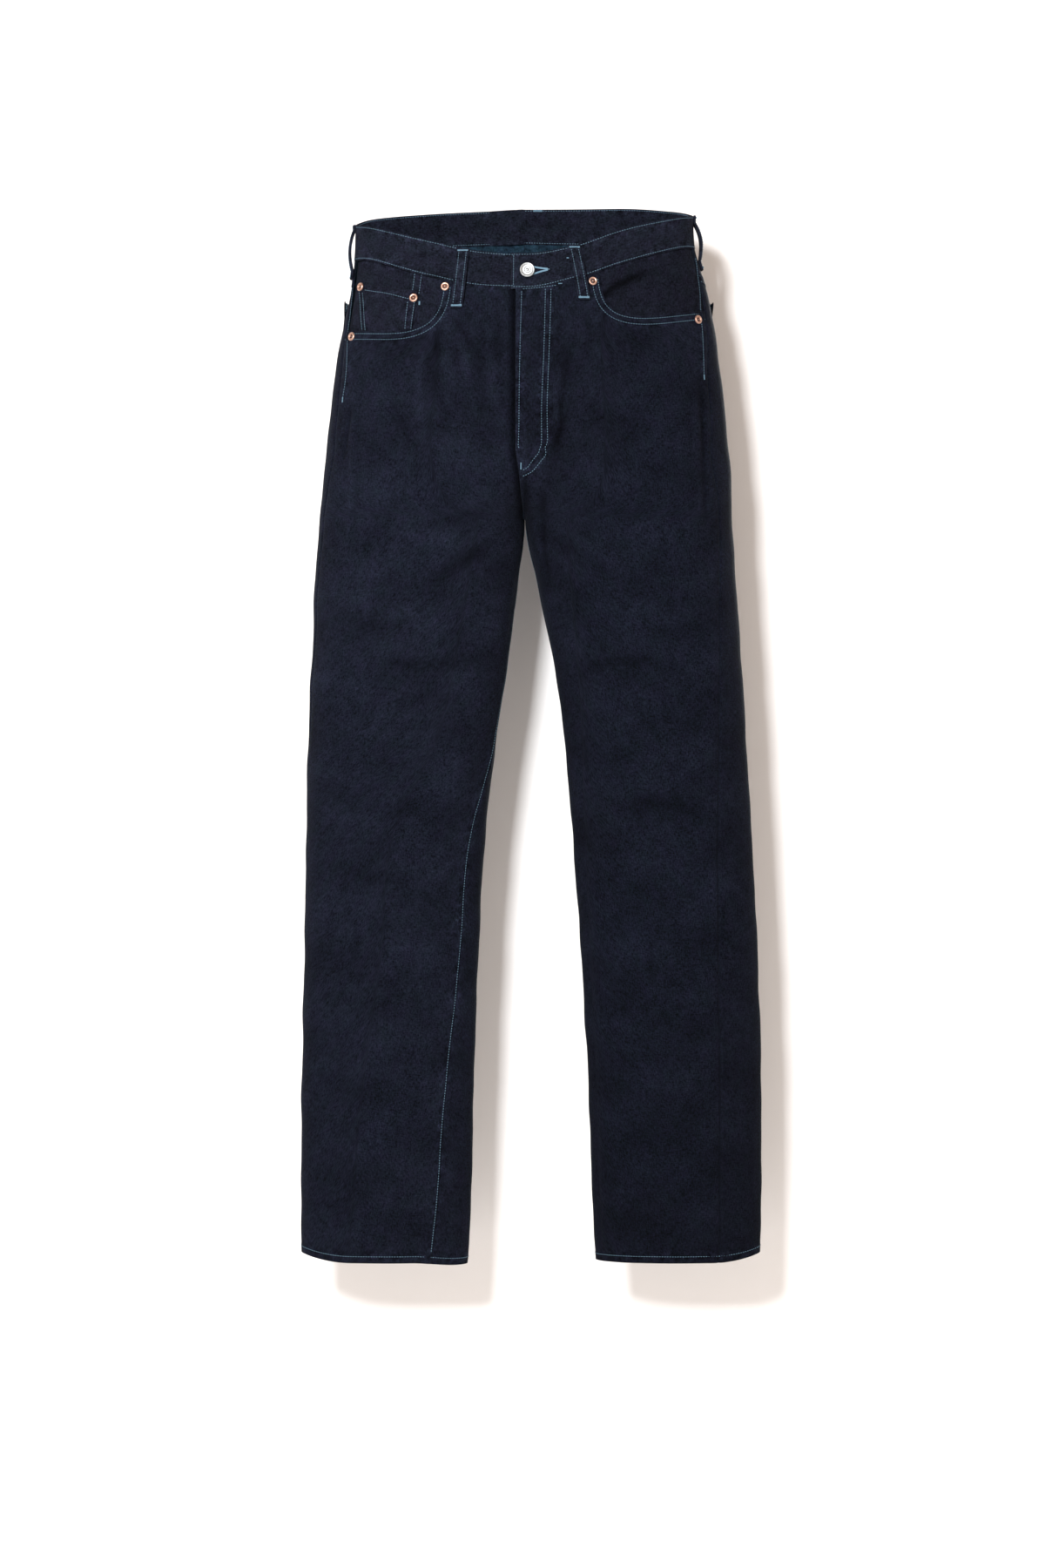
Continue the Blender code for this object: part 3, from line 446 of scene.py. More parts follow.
def cloth_uv(points, start=(0.0, 0.0)):
    """Lengths along the rows and down the columns of a grid, in metres, from its first point."""
    across = np.linalg.norm(np.diff(points, axis=1), axis=-1)
    down = np.linalg.norm(np.diff(points, axis=0), axis=-1)
    u = np.concatenate([np.zeros((len(points), 1)), np.cumsum(across, axis=1)], axis=1)
    v = np.concatenate([np.zeros((1, points.shape[1])), np.cumsum(down, axis=0)])
    return np.stack([u + start[0], start[1] - v], axis=-1)


def cloth(name, node, side, angle, z, out, thickness, ring=False, start=(0.0, 0.0), paired=True):
    """A piece whose face is the body surface moved out by out, at the grid's angles and heights. Its name
    and its solid's end in the side's name where there is one on each side."""
    out = np.broadcast_to(np.asarray(out, float), np.shape(z))
    outer, inner = lifted(side, angle, z, out), lifted(side, angle, z, out - thickness)
    ending = SIDE_NAME[side] if paired else ""
    return cloth_piece(name + ending, node + ending, outer, inner, cloth_uv(outer, start), ring)


def path_length(points):
    """Length along a path, from its first point to each point."""
    return np.concatenate([[0], np.cumsum(np.linalg.norm(np.diff(points, axis=0), axis=1))])


def clustered(n, tight=(0.0028, 0.0070, 0.0140)):
    """n shares from 0 to 1, evenly spaced but for a few close ones at both ends, for the seams."""
    tight = np.array(tight)
    middle = np.linspace(tight[-1] * 1.8, 1 - tight[-1] * 1.8, n - 2 * (len(tight) + 1))
    return np.concatenate([[0], tight, middle, 1 - tight[::-1], [1]])


print("shares of a seam:", clustered(12).round(3))

# %% [markdown]
# ## The waist, the pocket openings and the seams
# The waistband's edges come from its table. The front pockets are scoops: a quarter of a squared oval
# whose lower run slopes to the side seam.

# %% Lines of the cut
def waist_top(side, angle):
    """Height of the waistband's top edge."""
    return smooth(WAISTBAND[:, 0], WAISTBAND[:, 1 if side < 0 else 2], angle)


def waist_bottom(side, angle):
    """Height of the waistband's lower edge."""
    return waist_top(side, angle) - smooth(WAISTBAND[:, 0], WAISTBAND[:, 3 if side < 0 else 4], angle)


def seam_angle(side, z):
    return column(side, SEAM, z)


def share_at_angle(angle):
    """How far out the surface lies, above where the front closes, as a share of the half-width:
    cos a (1 + q sin^2 a)."""
    a = np.radians(angle)
    return np.cos(a) * (1 + SQUARE_BODY * np.sin(a) ** 2)


def angle_at_share(share):
    """The angle on the front that lies at a share of the half-width."""
    angles = np.linspace(0, 90, 721)
    return -np.interp(-np.asarray(share, float), -share_at_angle(angles), angles)


def scoop_line(side, steps):
    """The pocket opening as angles and heights, from the waist to the side seam: down = (1 - in^n)^(1/n),
    with in the share of the way across and n how square the corner is."""
    share_top, z_side, slope, square = SCOOP[side]
    angle_top, angle_side = float(angle_at_share(share_top)), float(seam_angle(side, z_side))
    angle = angle_top + (angle_side - angle_top) * np.linspace(0, 1, steps + 1) ** 1.7
    share = share_at_angle(angle)
    inward = np.clip((share[-1] - share) / (share[-1] - share[0]), 0, 1)
    down = (1 - inward ** square) ** (1 / square)
    run = z_side + slope * (share[-1] - share) * float(column(side, OUTER, z_side))
    top = float(waist_bottom(side, angle_top))
    return angle, top + (run - top) * down


def hem_height(side, angle):
    """The hem is level, but its outer third rises, rise ((share - 0.7) / 0.3)^2, and the inner quarter
    of the right leg's hangs a little lower."""
    x = abs(bare_point(side, angle, np.full(np.shape(angle), HEM_LEVEL))[..., 0])
    inner, outer = float(column(side, INNER, HEM_LEVEL)), float(column(side, OUTER, HEM_LEVEL))
    share = np.clip((x - inner) / (outer - inner), 0, 1)
    low = 0.0042 * ramp(share, 0.34, 0.02) if side < 0 else 0.0
    return HEM_LEVEL + HEM_RISE * np.clip((share - 0.7) / 0.3, 0, 1) ** 2 - low


def yoke_seam(angle):
    """The yoke's lower seam dips from the side to the centre back."""
    share = np.clip(np.asarray(angle, float) / 90, -0.3, 1)
    return YOKE_SEAM[0] + (YOKE_SEAM[1] - YOKE_SEAM[0]) * share


def fly_lap(z):
    """How far the left front laps past the centre: the fly's width, then the seam's down to the crotch."""
    lap = smooth(np.array([CROTCH, -0.290, -0.262, -0.240]), np.array([0.0014, 0.0042, 0.0074, LAP]), z)
    return lap * ramp(z, CROTCH, CROTCH + 0.004)


def front_edge(side, z):
    """The front's centre edge. The left front laps past the centre."""
    edge = -end_angle(z, False)
    if side < 0:
        return edge
    return edge - fly_lap(z) / degree_length(1, edge + 2, z)


print("pocket openings mm wide",
      [round(1000 * (1 - SCOOP[side][0]) * float(column(side, OUTER, 0.0))) for side in (-1, 1)])

# %% [markdown]
# ## The fronts and the backs
# Each panel is a grid of columns that run from its top line down to the hem. Near the top the columns
# follow the top line's own spacing. Below the seat they are even, with a few close together beside each
# seam. There the cloth dips into the seam, and rises over the folded seam allowance behind it.

# %% Panel grids
def spread_columns(top_angle, z, start, end):
    """Angles of the columns: the top line's near the top, evenly spread between both edges lower down."""
    even = clustered(len(top_angle))
    start, end = start[:, None], end[:, None]
    pinned = top_angle + (start - top_angle[0]) * (1 - even) + (end - top_angle[-1]) * even
    share = ramp(z, -0.122, -0.238)
    return pinned * (1 - share) + (start + (end - start) * even) * share


SEAT_LEVEL, SEAM_DIP, SEAM_FADE = -0.142, 0.0012, 0.003
TOP_ROWS, HEM_ROWS = [0.010, 0.026, 0.050], np.array([0.0005, 0.0013, 0.0026])


def panel(side, top_angle, top_z, first_edge, last_edge, upper, lower):
    """Angles and heights of a panel's grid: rows from the top line to the seat and from there to the hem,
    closest at the top and at the hem. The hem's height is worked out at the hem's own angles."""
    down = np.sort(np.concatenate([np.linspace(0, 1, upper) ** 1.25, TOP_ROWS]))[:, None]
    even = np.sort(np.concatenate([np.linspace(0, 1, lower)[1:], 1 - HEM_ROWS]))[:, None]
    level = np.full((1, len(top_angle)), HEM_LEVEL)
    hem_angle = spread_columns(top_angle, level, first_edge(level[:, 0]), last_edge(level[:, -1]))
    seat, hem = np.full(top_z.shape, SEAT_LEVEL), hem_height(side, hem_angle[0])
    z = np.concatenate([top_z + (seat - top_z) * down, seat + (hem - seat) * even])
    angle = spread_columns(top_angle, z, first_edge(z[:, 0]), last_edge(z[:, -1]))
    angle[0] = top_angle
    return angle, z


def seam_relief(points, at_first, at_last):
    """Dips into a seam, dip exp(-(away / 1.2 mm)^2), and rises over the allowance out to its width.
    at_first and at_last give (dip, rise, width) for the grid's two side edges, or None."""
    run = np.linalg.norm(np.diff(points, axis=1), axis=-1)
    from_first = np.concatenate([np.zeros((len(points), 1)), np.cumsum(run, axis=1)], axis=1)
    from_last = from_first[:, -1:] - from_first
    out = np.zeros(points.shape[:2])
    for away, rule in ((from_first, at_first), (from_last, at_last)):
        if rule:
            dip, rise, width = rule
            out -= dip * np.exp(-(away / SEAM_DIP) ** 2)
            out += rise * ramp(away, 0.0, 0.0020) * (1 - ramp(away, width, width + SEAM_FADE))
    return out


def edge_relief(points, from_row, rise, width, dip=0.0):
    """The same along the top (row 0) or the bottom (row -1) of a grid."""
    run = np.linalg.norm(np.diff(points, axis=0), axis=-1)
    away = np.concatenate([np.zeros((1, points.shape[1])), np.cumsum(run, axis=0)])
    if from_row:
        away = away[-1:] - away
    return rise * (1 - ramp(away, width, width + SEAM_FADE)) - dip * np.exp(-(away / SEAM_DIP) ** 2)


FACE_STEPS, SCOOP_STEPS, SEAM_STEPS = int(30 * DETAIL), int(56 * DETAIL), int(88 * DETAIL)
UPPER, LOWER = int(26 * DETAIL), int(270 * DETAIL)
# How far each piece runs up under its neighbour, so that no light shows through a seam.
FRONT_UNDER_BAND, YOKE_UNDER_BAND, BACK_UNDER_YOKE, LEFT_OVER_RIGHT = 0.0014, 0.0016, 0.0024, 0.0014
# How each seam shapes the cloth beside it: dip, rise and width. A hem only rises.
SIDE_SEAM, INSEAM, POCKET_SEAM = (0.0007, 0.0003, 0.011), (0.0007, 0.0005, 0.009), (0.0, 0.0003, 0.010)
HEM_FOLD = (0.0004, 0.0085)
SEAT_SEAM = {-1: (0.0006, 0.0001, 0.0105), 1: (0.0006, 0.0006, 0.0105)}


VALLEY_DEPTH, FLY_RAISED = 0.0040, 0.0007


def under_lap(side, angle, z):
    """How far the right front drops in behind the lap: a slow slope that starts 18 mm outside the lap's
    edge and fades at the crotch, and a narrow valley 4 mm deep right beside the edge."""
    if side > 0:
        return np.zeros(np.shape(z))
    x, edge = abs(bare_point(side, angle, z)[..., 0]), fly_lap(z)
    behind = ramp(z, CROTCH - 0.004, CROTCH + 0.004) * (DENIM + LAYER_GAP)
    valley = ramp(z, CROTCH - 0.010, CROTCH + 0.030) * VALLEY_DEPTH * ramp(x, edge + 0.0068, edge + 0.0024)
    return -behind * ramp(x, edge + 0.018, edge + 0.003) - valley * ramp(z, -0.030, -0.066)


def fly_relief(angle, z):
    """The left front is raised over the fly's facing, out to the curved line of its stitching."""
    x = bare_point(1, angle, z)[..., 0]
    reach = 0.0265 - 0.022 * ramp(z, -0.222, -0.268)
    return FLY_RAISED * (1 - ramp(x, reach, reach + 0.003)) * ramp(z, -0.275, -0.262)


def make_front(side):
    """The front panel, with its fly and the folded edge of its pocket opening."""
    scoop_angle, scoop_z = scoop_line(side, SCOOP_STEPS)
    centre = float(front_edge(side, np.array(waist_bottom(side, -90.0))))
    t = np.sort(np.concatenate([np.linspace(0, 1, FACE_STEPS), [0.006, 0.016, 0.030]]))
    face = centre + (scoop_angle[0] - centre) * t[:-1]
    top_angle = np.concatenate([face, scoop_angle])
    top_z = np.concatenate([waist_bottom(side, face) + FRONT_UNDER_BAND, scoop_z])
    angle, z = panel(side, top_angle, top_z, lambda h: front_edge(side, h), lambda h: seam_angle(side, h),
                     UPPER, LOWER)
    points = lifted(side, angle, z, 0.0)
    out = under_lap(side, angle, z) + seam_relief(points, None, SIDE_SEAM)
    out += seam_relief(points, INSEAM, None) * ramp(z, -0.262, -0.30)
    in_scoop = np.clip((np.arange(angle.shape[1]) - len(face) + 1) / 3, 0, 1)
    out += edge_relief(points, 0, 0.0005, 0.0105) * in_scoop
    if side > 0:
        out += fly_relief(angle, z)
    out += edge_relief(points, -1, *HEM_FOLD)
    return cloth("front", "front_panel", side, angle, z, out, DENIM)


fronts = {side: make_front(side) for side in (-1, 1)}
print("front quads:", [len(piece.data.polygons) for piece in fronts.values()])

# %% The backs and the yokes
def seat_edge(side, z):
    """The back's centre edge. The left one laps over the right one, down to the crotch."""
    edge = end_angle(z, True)
    if side < 0:
        return edge
    return edge + LEFT_OVER_RIGHT * ramp(z, CROTCH, CROTCH + 0.010) / degree_length(1, edge - 2, z)


def yoke_columns(side):
    """Angles along the yoke's seam, from the side seam to the centre back."""
    start = float(seam_angle(side, YOKE_SEAM[0]))
    return start + (float(seat_edge(side, YOKE_SEAM[0])) - start) * clustered(SEAM_STEPS)


def make_back(side):
    """The back panel, from under the yoke's folded edge to the hem. Both side edges are seams."""
    top_angle = yoke_columns(side)
    angle, z = panel(side, top_angle, yoke_seam(top_angle) + BACK_UNDER_YOKE,
                     lambda h: seam_angle(side, h), lambda h: seat_edge(side, h), UPPER, LOWER)
    points = lifted(side, angle, z, 0.0)
    out = seam_relief(points, SIDE_SEAM, SEAT_SEAM[side])
    out += edge_relief(points, 0, 0.0, 0.001, dip=0.0006) + edge_relief(points, -1, *HEM_FOLD)
    return cloth("back", "back_panel", side, angle, z, out, DENIM)


def make_yoke(side):
    """The yoke, from the waistband to its own seam, whose folded edge stands over the back panel."""
    low = yoke_columns(side)
    top, bottom = waist_bottom(side, low) + YOKE_UNDER_BAND, yoke_seam(low)
    z = top + (bottom - top) * clustered(int(26 * DETAIL) + 8, (0.010, 0.024, 0.05))[:, None]
    start = seam_angle(side, z[:, 0])[:, None]
    angle = low + (start - low[0]) * (1 - clustered(len(low)))
    points = lifted(side, angle, z, 0.0)
    out = seam_relief(points, SIDE_SEAM, SEAT_SEAM[side]) + edge_relief(points, -1, 0.0006, 0.0105)
    return cloth("yoke", "yoke", side, angle, z, out, DENIM)


backs = {side: make_back(side) for side in (-1, 1)}
yokes = {side: make_yoke(side) for side in (-1, 1)}
print("back quads:", len(backs[1].data.polygons), "yoke quads:", len(yokes[1].data.polygons))

# %% [markdown]
# ## Pockets
# Inside each scoop shows a facing of denim, and on the wearer's right a small coin pocket on it. Two
# plain patch pockets lie on the seat. The cotton bags stay inside, where only their shape matters.

# %% Front pockets
COIN_OUT = -DENIM - LAYER_GAP
COIN = {"outer": 0.966, "inner": 0.608, "outer_foot": 0.880, "inner_foot": 0.610, "top_outer": -0.0460,
        "top_inner": -0.0600, "foot": -0.1200}
FACING_HIDDEN, BAG_BOTTOM, BAG_ROUND, BAG_MIDDLE, BAG_SPREAD = 0.026, -0.236, 0.035, -42, 30


def facing_out(side):
    """Seat of the pocket facing: behind the front, and behind the coin pocket on the right."""
    return COIN_OUT - POCKET_DENIM - LAYER_GAP if side < 0 else -DENIM - LAYER_GAP


def pocket_fold(side, angle, z):
    """A fold in the left facing, where the pocket gapes: a curved dip with a rise beside it."""
    if side < 0:
        return np.zeros(np.shape(z))
    x = abs(bare_point(side, angle, z)[..., 0])
    line = smooth(np.array([0.080, 0.087, 0.098, 0.116, 0.137, 0.157]),
                  np.array([-0.078, -0.0684, -0.0593, -0.0490, -0.0414, -0.0354]), x)
    s = (z - line) / 0.005
    fade = ramp(x, 0.078, 0.090) * (1 - ramp(x, 0.115, 0.155))
    return -0.0022 * (1 + 0.6 * s) * np.exp(-s * s) * fade


def pocket_grid(side, foot_line, columns, rows):
    """Angles and heights of a piece behind the opening: from the waist's seam to its foot, and from the
    opening's top end out to just short of the side seam."""
    scoop, _ = scoop_line(side, columns)
    share = np.linspace(0, 1, columns + 1) ** 2
    down = np.linspace(0, 1, rows)[:, None]
    top = waist_bottom(side, scoop)
    for _ in range(3):
        z = top + (foot_line(scoop) - top) * down
        end = seam_angle(side, z[:, -1:]) - 0.0005 / degree_length(side, -20.0, -0.08)
        angle = scoop + (end - scoop[-1]) * share
        top = waist_bottom(side, angle[0]) + 0.0006
    return angle, z


def make_facing(side):
    grid, z = pocket_grid(side, lambda a: SCOOP[side][1] - FACING_HIDDEN + 0 * a, int(56 * DETAIL),
                          int(60 * DETAIL))
    out = facing_out(side) + pocket_fold(side, grid, z)
    return cloth("pocket_facing_piece", "pocket_facing", side, grid, z, out, POCKET_DENIM,
                 start=(0.02, 0.3))


def make_bag(side):
    def foot_line(angle):
        return BAG_BOTTOM + BAG_ROUND * np.clip(abs(angle - BAG_MIDDLE) / BAG_SPREAD, 0, 1) ** 3

    grid, z = pocket_grid(side, foot_line, int(24 * DETAIL), int(40 * DETAIL))
    out = facing_out(side) - POCKET_DENIM - LAYER_GAP + (pocket_fold(side, grid, z) if side > 0 else 0.0)
    return cloth("pocket_bag_piece", "pocket_bag", side, grid, z, out, POCKETING)


def make_coin_pocket():
    even = np.linspace(0, 1, int(44 * DETAIL))
    ends = angle_at_share(np.array([COIN["inner"], COIN["outer"]]))
    feet = angle_at_share(np.array([COIN["inner_foot"], COIN["outer_foot"]]))
    high, low = (pair[0] + (pair[1] - pair[0]) * even for pair in (ends, feet))
    top = COIN["top_inner"] + (COIN["top_outer"] - COIN["top_inner"]) * even
    z = top + (COIN["foot"] - top) * even[:, None]
    angle = high + (low - high) * even[:, None]
    return cloth("coin_pocket_piece", "coin_pocket", -1, angle, z, COIN_OUT, POCKET_DENIM, start=(0.4, 0.1),
                 paired=False)


for side in (-1, 1):
    make_facing(side)
    make_bag(side)
make_coin_pocket()
print("front pocket pieces:", [n for n in PIECES if "pocket" in n])

# %% Back pockets
BACK_POCKET = {"inner": 0.068, "top": 0.166, "bottom": 0.138, "side": 0.150, "point": 0.022,
               "top_outer": -0.066, "top_inner": -0.079}


def angle_from_back(distance, side, z):
    """The angles at lengths of cloth from the centre back, round the section at height z."""
    angles = np.linspace(float(end_angle(z, True)), -40, 521)
    points = bare_point(side, angles, np.full(angles.shape, z))
    return np.interp(distance, path_length(points), angles)


def back_pocket_grid(side, across, down):
    """Angles and heights of the patch pocket at shares across it and down it: straight sides that draw
    in, and a foot with a shallow point. The angles are read from a table by height and length."""
    shape = BACK_POCKET
    across, down = np.meshgrid(across, down)
    width = shape["top"] + (shape["bottom"] - shape["top"]) * down
    distance = shape["inner"] + shape["top"] / 2 + (across - 0.5) * width
    top = shape["top_inner"] + (shape["top_outer"] - shape["top_inner"]) * across
    z = top - down * (shape["side"] + shape["point"] * (1 - abs(2 * across - 1)))
    high, low, near, far, cells = -0.055, -0.260, 0.05, 0.25, 59
    lengths = np.linspace(near, far, cells + 1)
    table = np.array([angle_from_back(lengths, side, h) for h in np.linspace(high, low, cells + 1)])
    row = np.clip((high - z) / (high - low) * cells, 0, cells - 0.001)
    col = np.clip((distance - near) / (far - near) * cells, 0, cells - 0.001)
    i, j, s, t = row.astype(int), col.astype(int), row % 1, col % 1
    angle = ((1 - s) * ((1 - t) * table[i, j] + t * table[i, j + 1])
             + s * ((1 - t) * table[i + 1, j] + t * table[i + 1, j + 1]))
    return angle, z


def make_back_pocket(side):
    shares = clustered(int(60 * DETAIL) + 8, (0.006, 0.016, 0.034))
    angle, z = back_pocket_grid(side, shares, shares)
    points = lifted(side, angle, z, 0.0)
    out = PATCH_GAP + DENIM + edge_relief(points, 0, 0.0004, 0.016)
    out = out + seam_relief(points, POCKET_SEAM, POCKET_SEAM)
    corner = points[0, -1] if abs(angle[0, -1]) < abs(angle[0, 0]) else points[0, 0]
    out += 0.0030 * np.exp(-(np.linalg.norm(points - corner, axis=-1) / 0.013) ** 2)
    return cloth("back_pocket_piece", "back_pocket", side, angle, z, out, DENIM, start=(0.7, 0.2))


for side in (-1, 1):
    make_back_pocket(side)
print("back pocket area cm2", round(1e4 * (BACK_POCKET["top"] + BACK_POCKET["bottom"]) / 2
                                    * (BACK_POCKET["side"] + BACK_POCKET["point"] / 2)))

# %% [markdown]
# ## Waistband, belt loops and hems
# The waistband is one folded strip. It starts at the over-end beside the button, runs round the back and
# ends behind its own start. Each belt loop is a narrow strip, tacked at both ends and bowed out between.
# At the hem the cloth is turned up inside.

# %% Waistband
OVER_END, UNDER_REACH, BAND_RAMP, WAIST_HALF = -0.0140, 0.0240, (0.046, 0.018), 0.190


def band_angle(x):
    """The angle at the waist's front where the surface is x to the wearer's own side of the centre."""
    return -90 + math.degrees(math.asin(x / WAIST_HALF))


def band_wave(run, z_share):
    """Sewing draws the band up in small ripples along both edges: 0.16 mm high, 9.3 mm apart."""
    ripple = np.sin(2 * math.pi * run / 0.0093 + 1.4 * np.sin(run * 61)) * np.sin(run * 23 + 0.7)
    near_edge = np.exp(-(z_share / 0.22) ** 2) + np.exp(-((1 - z_share) / 0.22) ** 2)
    return 0.00016 * ripple * near_edge


def make_waistband():
    left = np.linspace(band_angle(OVER_END), 90, int(150 * DETAIL))
    right = np.linspace(90, band_angle(-UNDER_REACH), int(162 * DETAIL))[1:]
    share = clustered(int(26 * DETAIL), (0.012, 0.030, 0.060))[:, None]
    outers, inners = [], []
    for side, angle in ((1, left), (-1, right)):
        top, bottom = waist_top(side, angle), waist_bottom(side, angle)
        z = top + (bottom - top) * share
        grid = np.broadcast_to(angle, z.shape)
        x = side * bare_point(side, grid, z)[..., 0]
        under = (BAND_THICK + GAP) * ramp(x, *BAND_RAMP) if side < 0 else 0.0
        wave = band_wave(np.radians(grid) * WAIST_HALF + side, share)
        outers.append(lifted(side, grid, z, BAND_PROUD - under + wave))
        inners.append(lifted(side, grid, z, BAND_PROUD - under - BAND_THICK + wave))
    outers[0][:, -1, 0] = inners[0][:, -1, 0] = 0.0
    outer = np.concatenate(outers, axis=1)
    return cloth_piece("waistband_strip", "waistband", outer, np.concatenate(inners, axis=1),
                       cloth_uv(outer)[..., ::-1], roundness=0.42)


waistband = make_waistband()
print("waistband quads:", len(waistband.data.polygons))

# %% Belt loops
LOOP_WIDTH, LOOP_DROP, BACK_LOOP = 0.0136, 0.0005, "belt_loop_back"
# Side, angle at the top and at the foot, length, stand-off, and the shares between which it stands off.
LOOPS = {"belt_loop_front_right": (-1, -70.8, -69.7, 0.068, 0.0030, 0.06, 0.94),
         "belt_loop_front_left": (1, -75.1, -73.4, 0.062, 0.0030, 0.06, 0.94),
         "belt_loop_side_right": (-1, -1, -3, 0.061, 0.0044, 0.10, 0.84),
         "belt_loop_side_left": (1, 2, 2, 0.062, 0.0068, 0.14, 0.84),
         BACK_LOOP: (1, 90, 90, 0.062, 0.0056, 0.06, 0.94)}


def loop_line(name, rows):
    """Angles and heights down the loop's middle, at shares of its length."""
    side, top_angle, foot_angle, length = LOOPS[name][:4]
    z = float(waist_top(side, top_angle)) - LOOP_DROP - length * rows
    return side, top_angle + (foot_angle - top_angle) * rows, z


def loop_frame(name, rows):
    """Points down the loop's middle, the directions across and out, and how far it stands off: the sine
    of the share between its tacks, to the power 0.8. The back loop lies across the middle."""
    stand_off, start, end = LOOPS[name][4:]
    side, angle, z = loop_line(name, rows)
    off = stand_off * np.sin(math.pi * np.clip((rows - start) / (end - start), 0, 1)) ** 0.8
    seat = lifted(side, angle, z, 0.0)
    if name == BACK_LOOP:
        seat[:, 0] = 0.0
        away, across = np.tile([0.0, 1.0, 0.0], (len(rows), 1)), np.tile([1.0, 0.0, 0.0], (len(rows), 1))
    else:
        away = normal(side, angle, z)
        across = unit(bare_point(side, angle + 1, z) - bare_point(side, angle, z)) * side
    return seat, across, away, BAND_PROUD + GAP + off


def make_loop(name):
    """A strip with two folded edges: its face is crowned by 0.25 mm across its width."""
    rows = clustered(int(48 * DETAIL), (0.008, 0.02, 0.04))
    seat, across, away, off = loop_frame(name, rows)
    t = clustered(int(20 * DETAIL) + 4, (0.03, 0.08, 0.15)) - 0.5
    if name == BACK_LOOP:
        seat_grid = seat[:, None, :] + across[:, None, :] * (t * LOOP_WIDTH)[:, None]
    else:
        side, angle, z = loop_line(name, rows)
        grid = angle[:, None] + t * LOOP_WIDTH / degree_length(side, angle, z)[:, None]
        seat_grid = lifted(side, grid, z[:, None], 0.0)
    crown = 0.00025 * (1 - (2 * t) ** 4) - 0.00018 * np.exp(-((abs(t) - 0.30) / 0.05) ** 2)
    outer = seat_grid + away[:, None, :] * (off[:, None] + LOOP_THICK + crown)[..., None]
    inner = seat_grid + away[:, None, :] * off[:, None, None]
    return cloth_piece(name + "_strip", name, outer, inner, cloth_uv(outer, (1.2, 0.4)), roundness=0.42)


loops = {name: make_loop(name) for name in LOOPS}
print("loops:", list(loops))

# %% Hems
def make_hem(side):
    """The turned-up cloth, as a ring inside the leg's end."""
    angle = np.linspace(-180, 180, int(130 * DETAIL), endpoint=False) + float(seam_angle(side, HEM_LEVEL))
    bottom = hem_height(side, angle)
    z = bottom + HEM_TURN * (1 - np.linspace(0, 1, 8))[:, None]
    grid = np.broadcast_to(angle, z.shape)
    return cloth("hem_turn", "hem", side, grid, z, -(DENIM + GAP), HEM_THICK, ring=True, start=(2.0, 0.0))


hems = {side: make_hem(side) for side in (-1, 1)}
print("hem turned up mm", HEM_TURN * 1000)

# %% [markdown]
# ## Sewing
# The seams are sewn in a pale blue thread. A row of stitches is a path on the cloth, and each stitch on
# it is a small bead, three millimetres apart, whose ends dive into the cloth. Rows beside an edge are
# that edge's own line moved sideways, as the foot of the machine would guide it.

# %% Stitch paths
# A double row's distances from the edge it follows, a single row's, and the scoops' two rows. Then how
# far apart the stitches are and how thick their thread is, in rows and in bar tacks.
NEAR_ROW, FAR_ROW, EDGE_ROW, SCOOP_ROWS = 0.0020, 0.0084, 0.0019, (0.0029, 0.0093)
PITCH, THREAD, TACK_PITCH, TACK_THREAD = 0.0029, 0.00060, 0.00085, 0.00085
STITCH_ROWS = {"front": [], "legs": [], "band": [], "seat": [], "loops": []}


def beside(side, angle, z, distance):
    """A path moved sideways over the cloth, towards its right hand as it travels with growing angle. In
    lengths of cloth, the step (da, dz) has the right hand (dz, -da)."""
    degree = degree_length(side, angle, z)
    da, dz = np.gradient(angle) * degree, np.gradient(z)
    size = np.hypot(da, dz)
    return angle + distance * dz / size / degree, z - distance * da / size


def fine_path(angle, z, steps=240):
    """The path through a few points, as many evenly shared ones."""
    t = np.linspace(0, 1, len(angle))
    s = np.linspace(0, 1, steps)
    return smooth(t, np.asarray(angle, float), s), smooth(t, np.asarray(z, float), s)


def picture_path(side, points, behind=False, steps=240):
    """A path through points given as x and height in millimetres, as seen from the front or from behind.
    x is on the wearer's own side, and negative past the centre."""
    angle = [angle_at(side, x / 1000, z / 1000, behind) for x, z in points]
    return fine_path(angle, [z / 1000 for _, z in points], steps)


def sew(group, side, angle, z, out):
    """Adds a row of stitches along a path on the cloth whose face lies at out."""
    STITCH_ROWS[group].append((lifted(side, angle, z, out), normal(side, angle, z), PITCH, THREAD))


for side in (-1, 1):
    angle, z = scoop_line(side, 200)
    for distance in SCOOP_ROWS:
        a, h = beside(side, angle, z, distance)
        inside = (h < waist_bottom(side, a) - 0.0015) & (a < seam_angle(side, h) - 0.3)
        sew("front", side, a[inside], h[inside], 0.0005)
side_rows = {-1: [(193.4, -50.6), (195.5, -82.3), (197.8, -99.2), (198.5, -131.4), (200.8, -161.9),
                  (203.1, -177.4)],
             1: [(190.6, -18.0), (192.3, -31.0), (193.8, -46.4), (195.7, -77.6), (197.1, -102.6),
                 (198.4, -132.1), (199.1, -151.7)]}
for side, points in side_rows.items():
    sew("front", side, *picture_path(side, points), 0.0004)

print("rows on the fronts:", len(STITCH_ROWS["front"]))

# %% [markdown]
# The fly is closed by the left front, which laps over the right one. One row runs down its edge. Two
# more hold its facing and curve back to the centre in a J. The coin pocket and the facing have rows of
# their own.

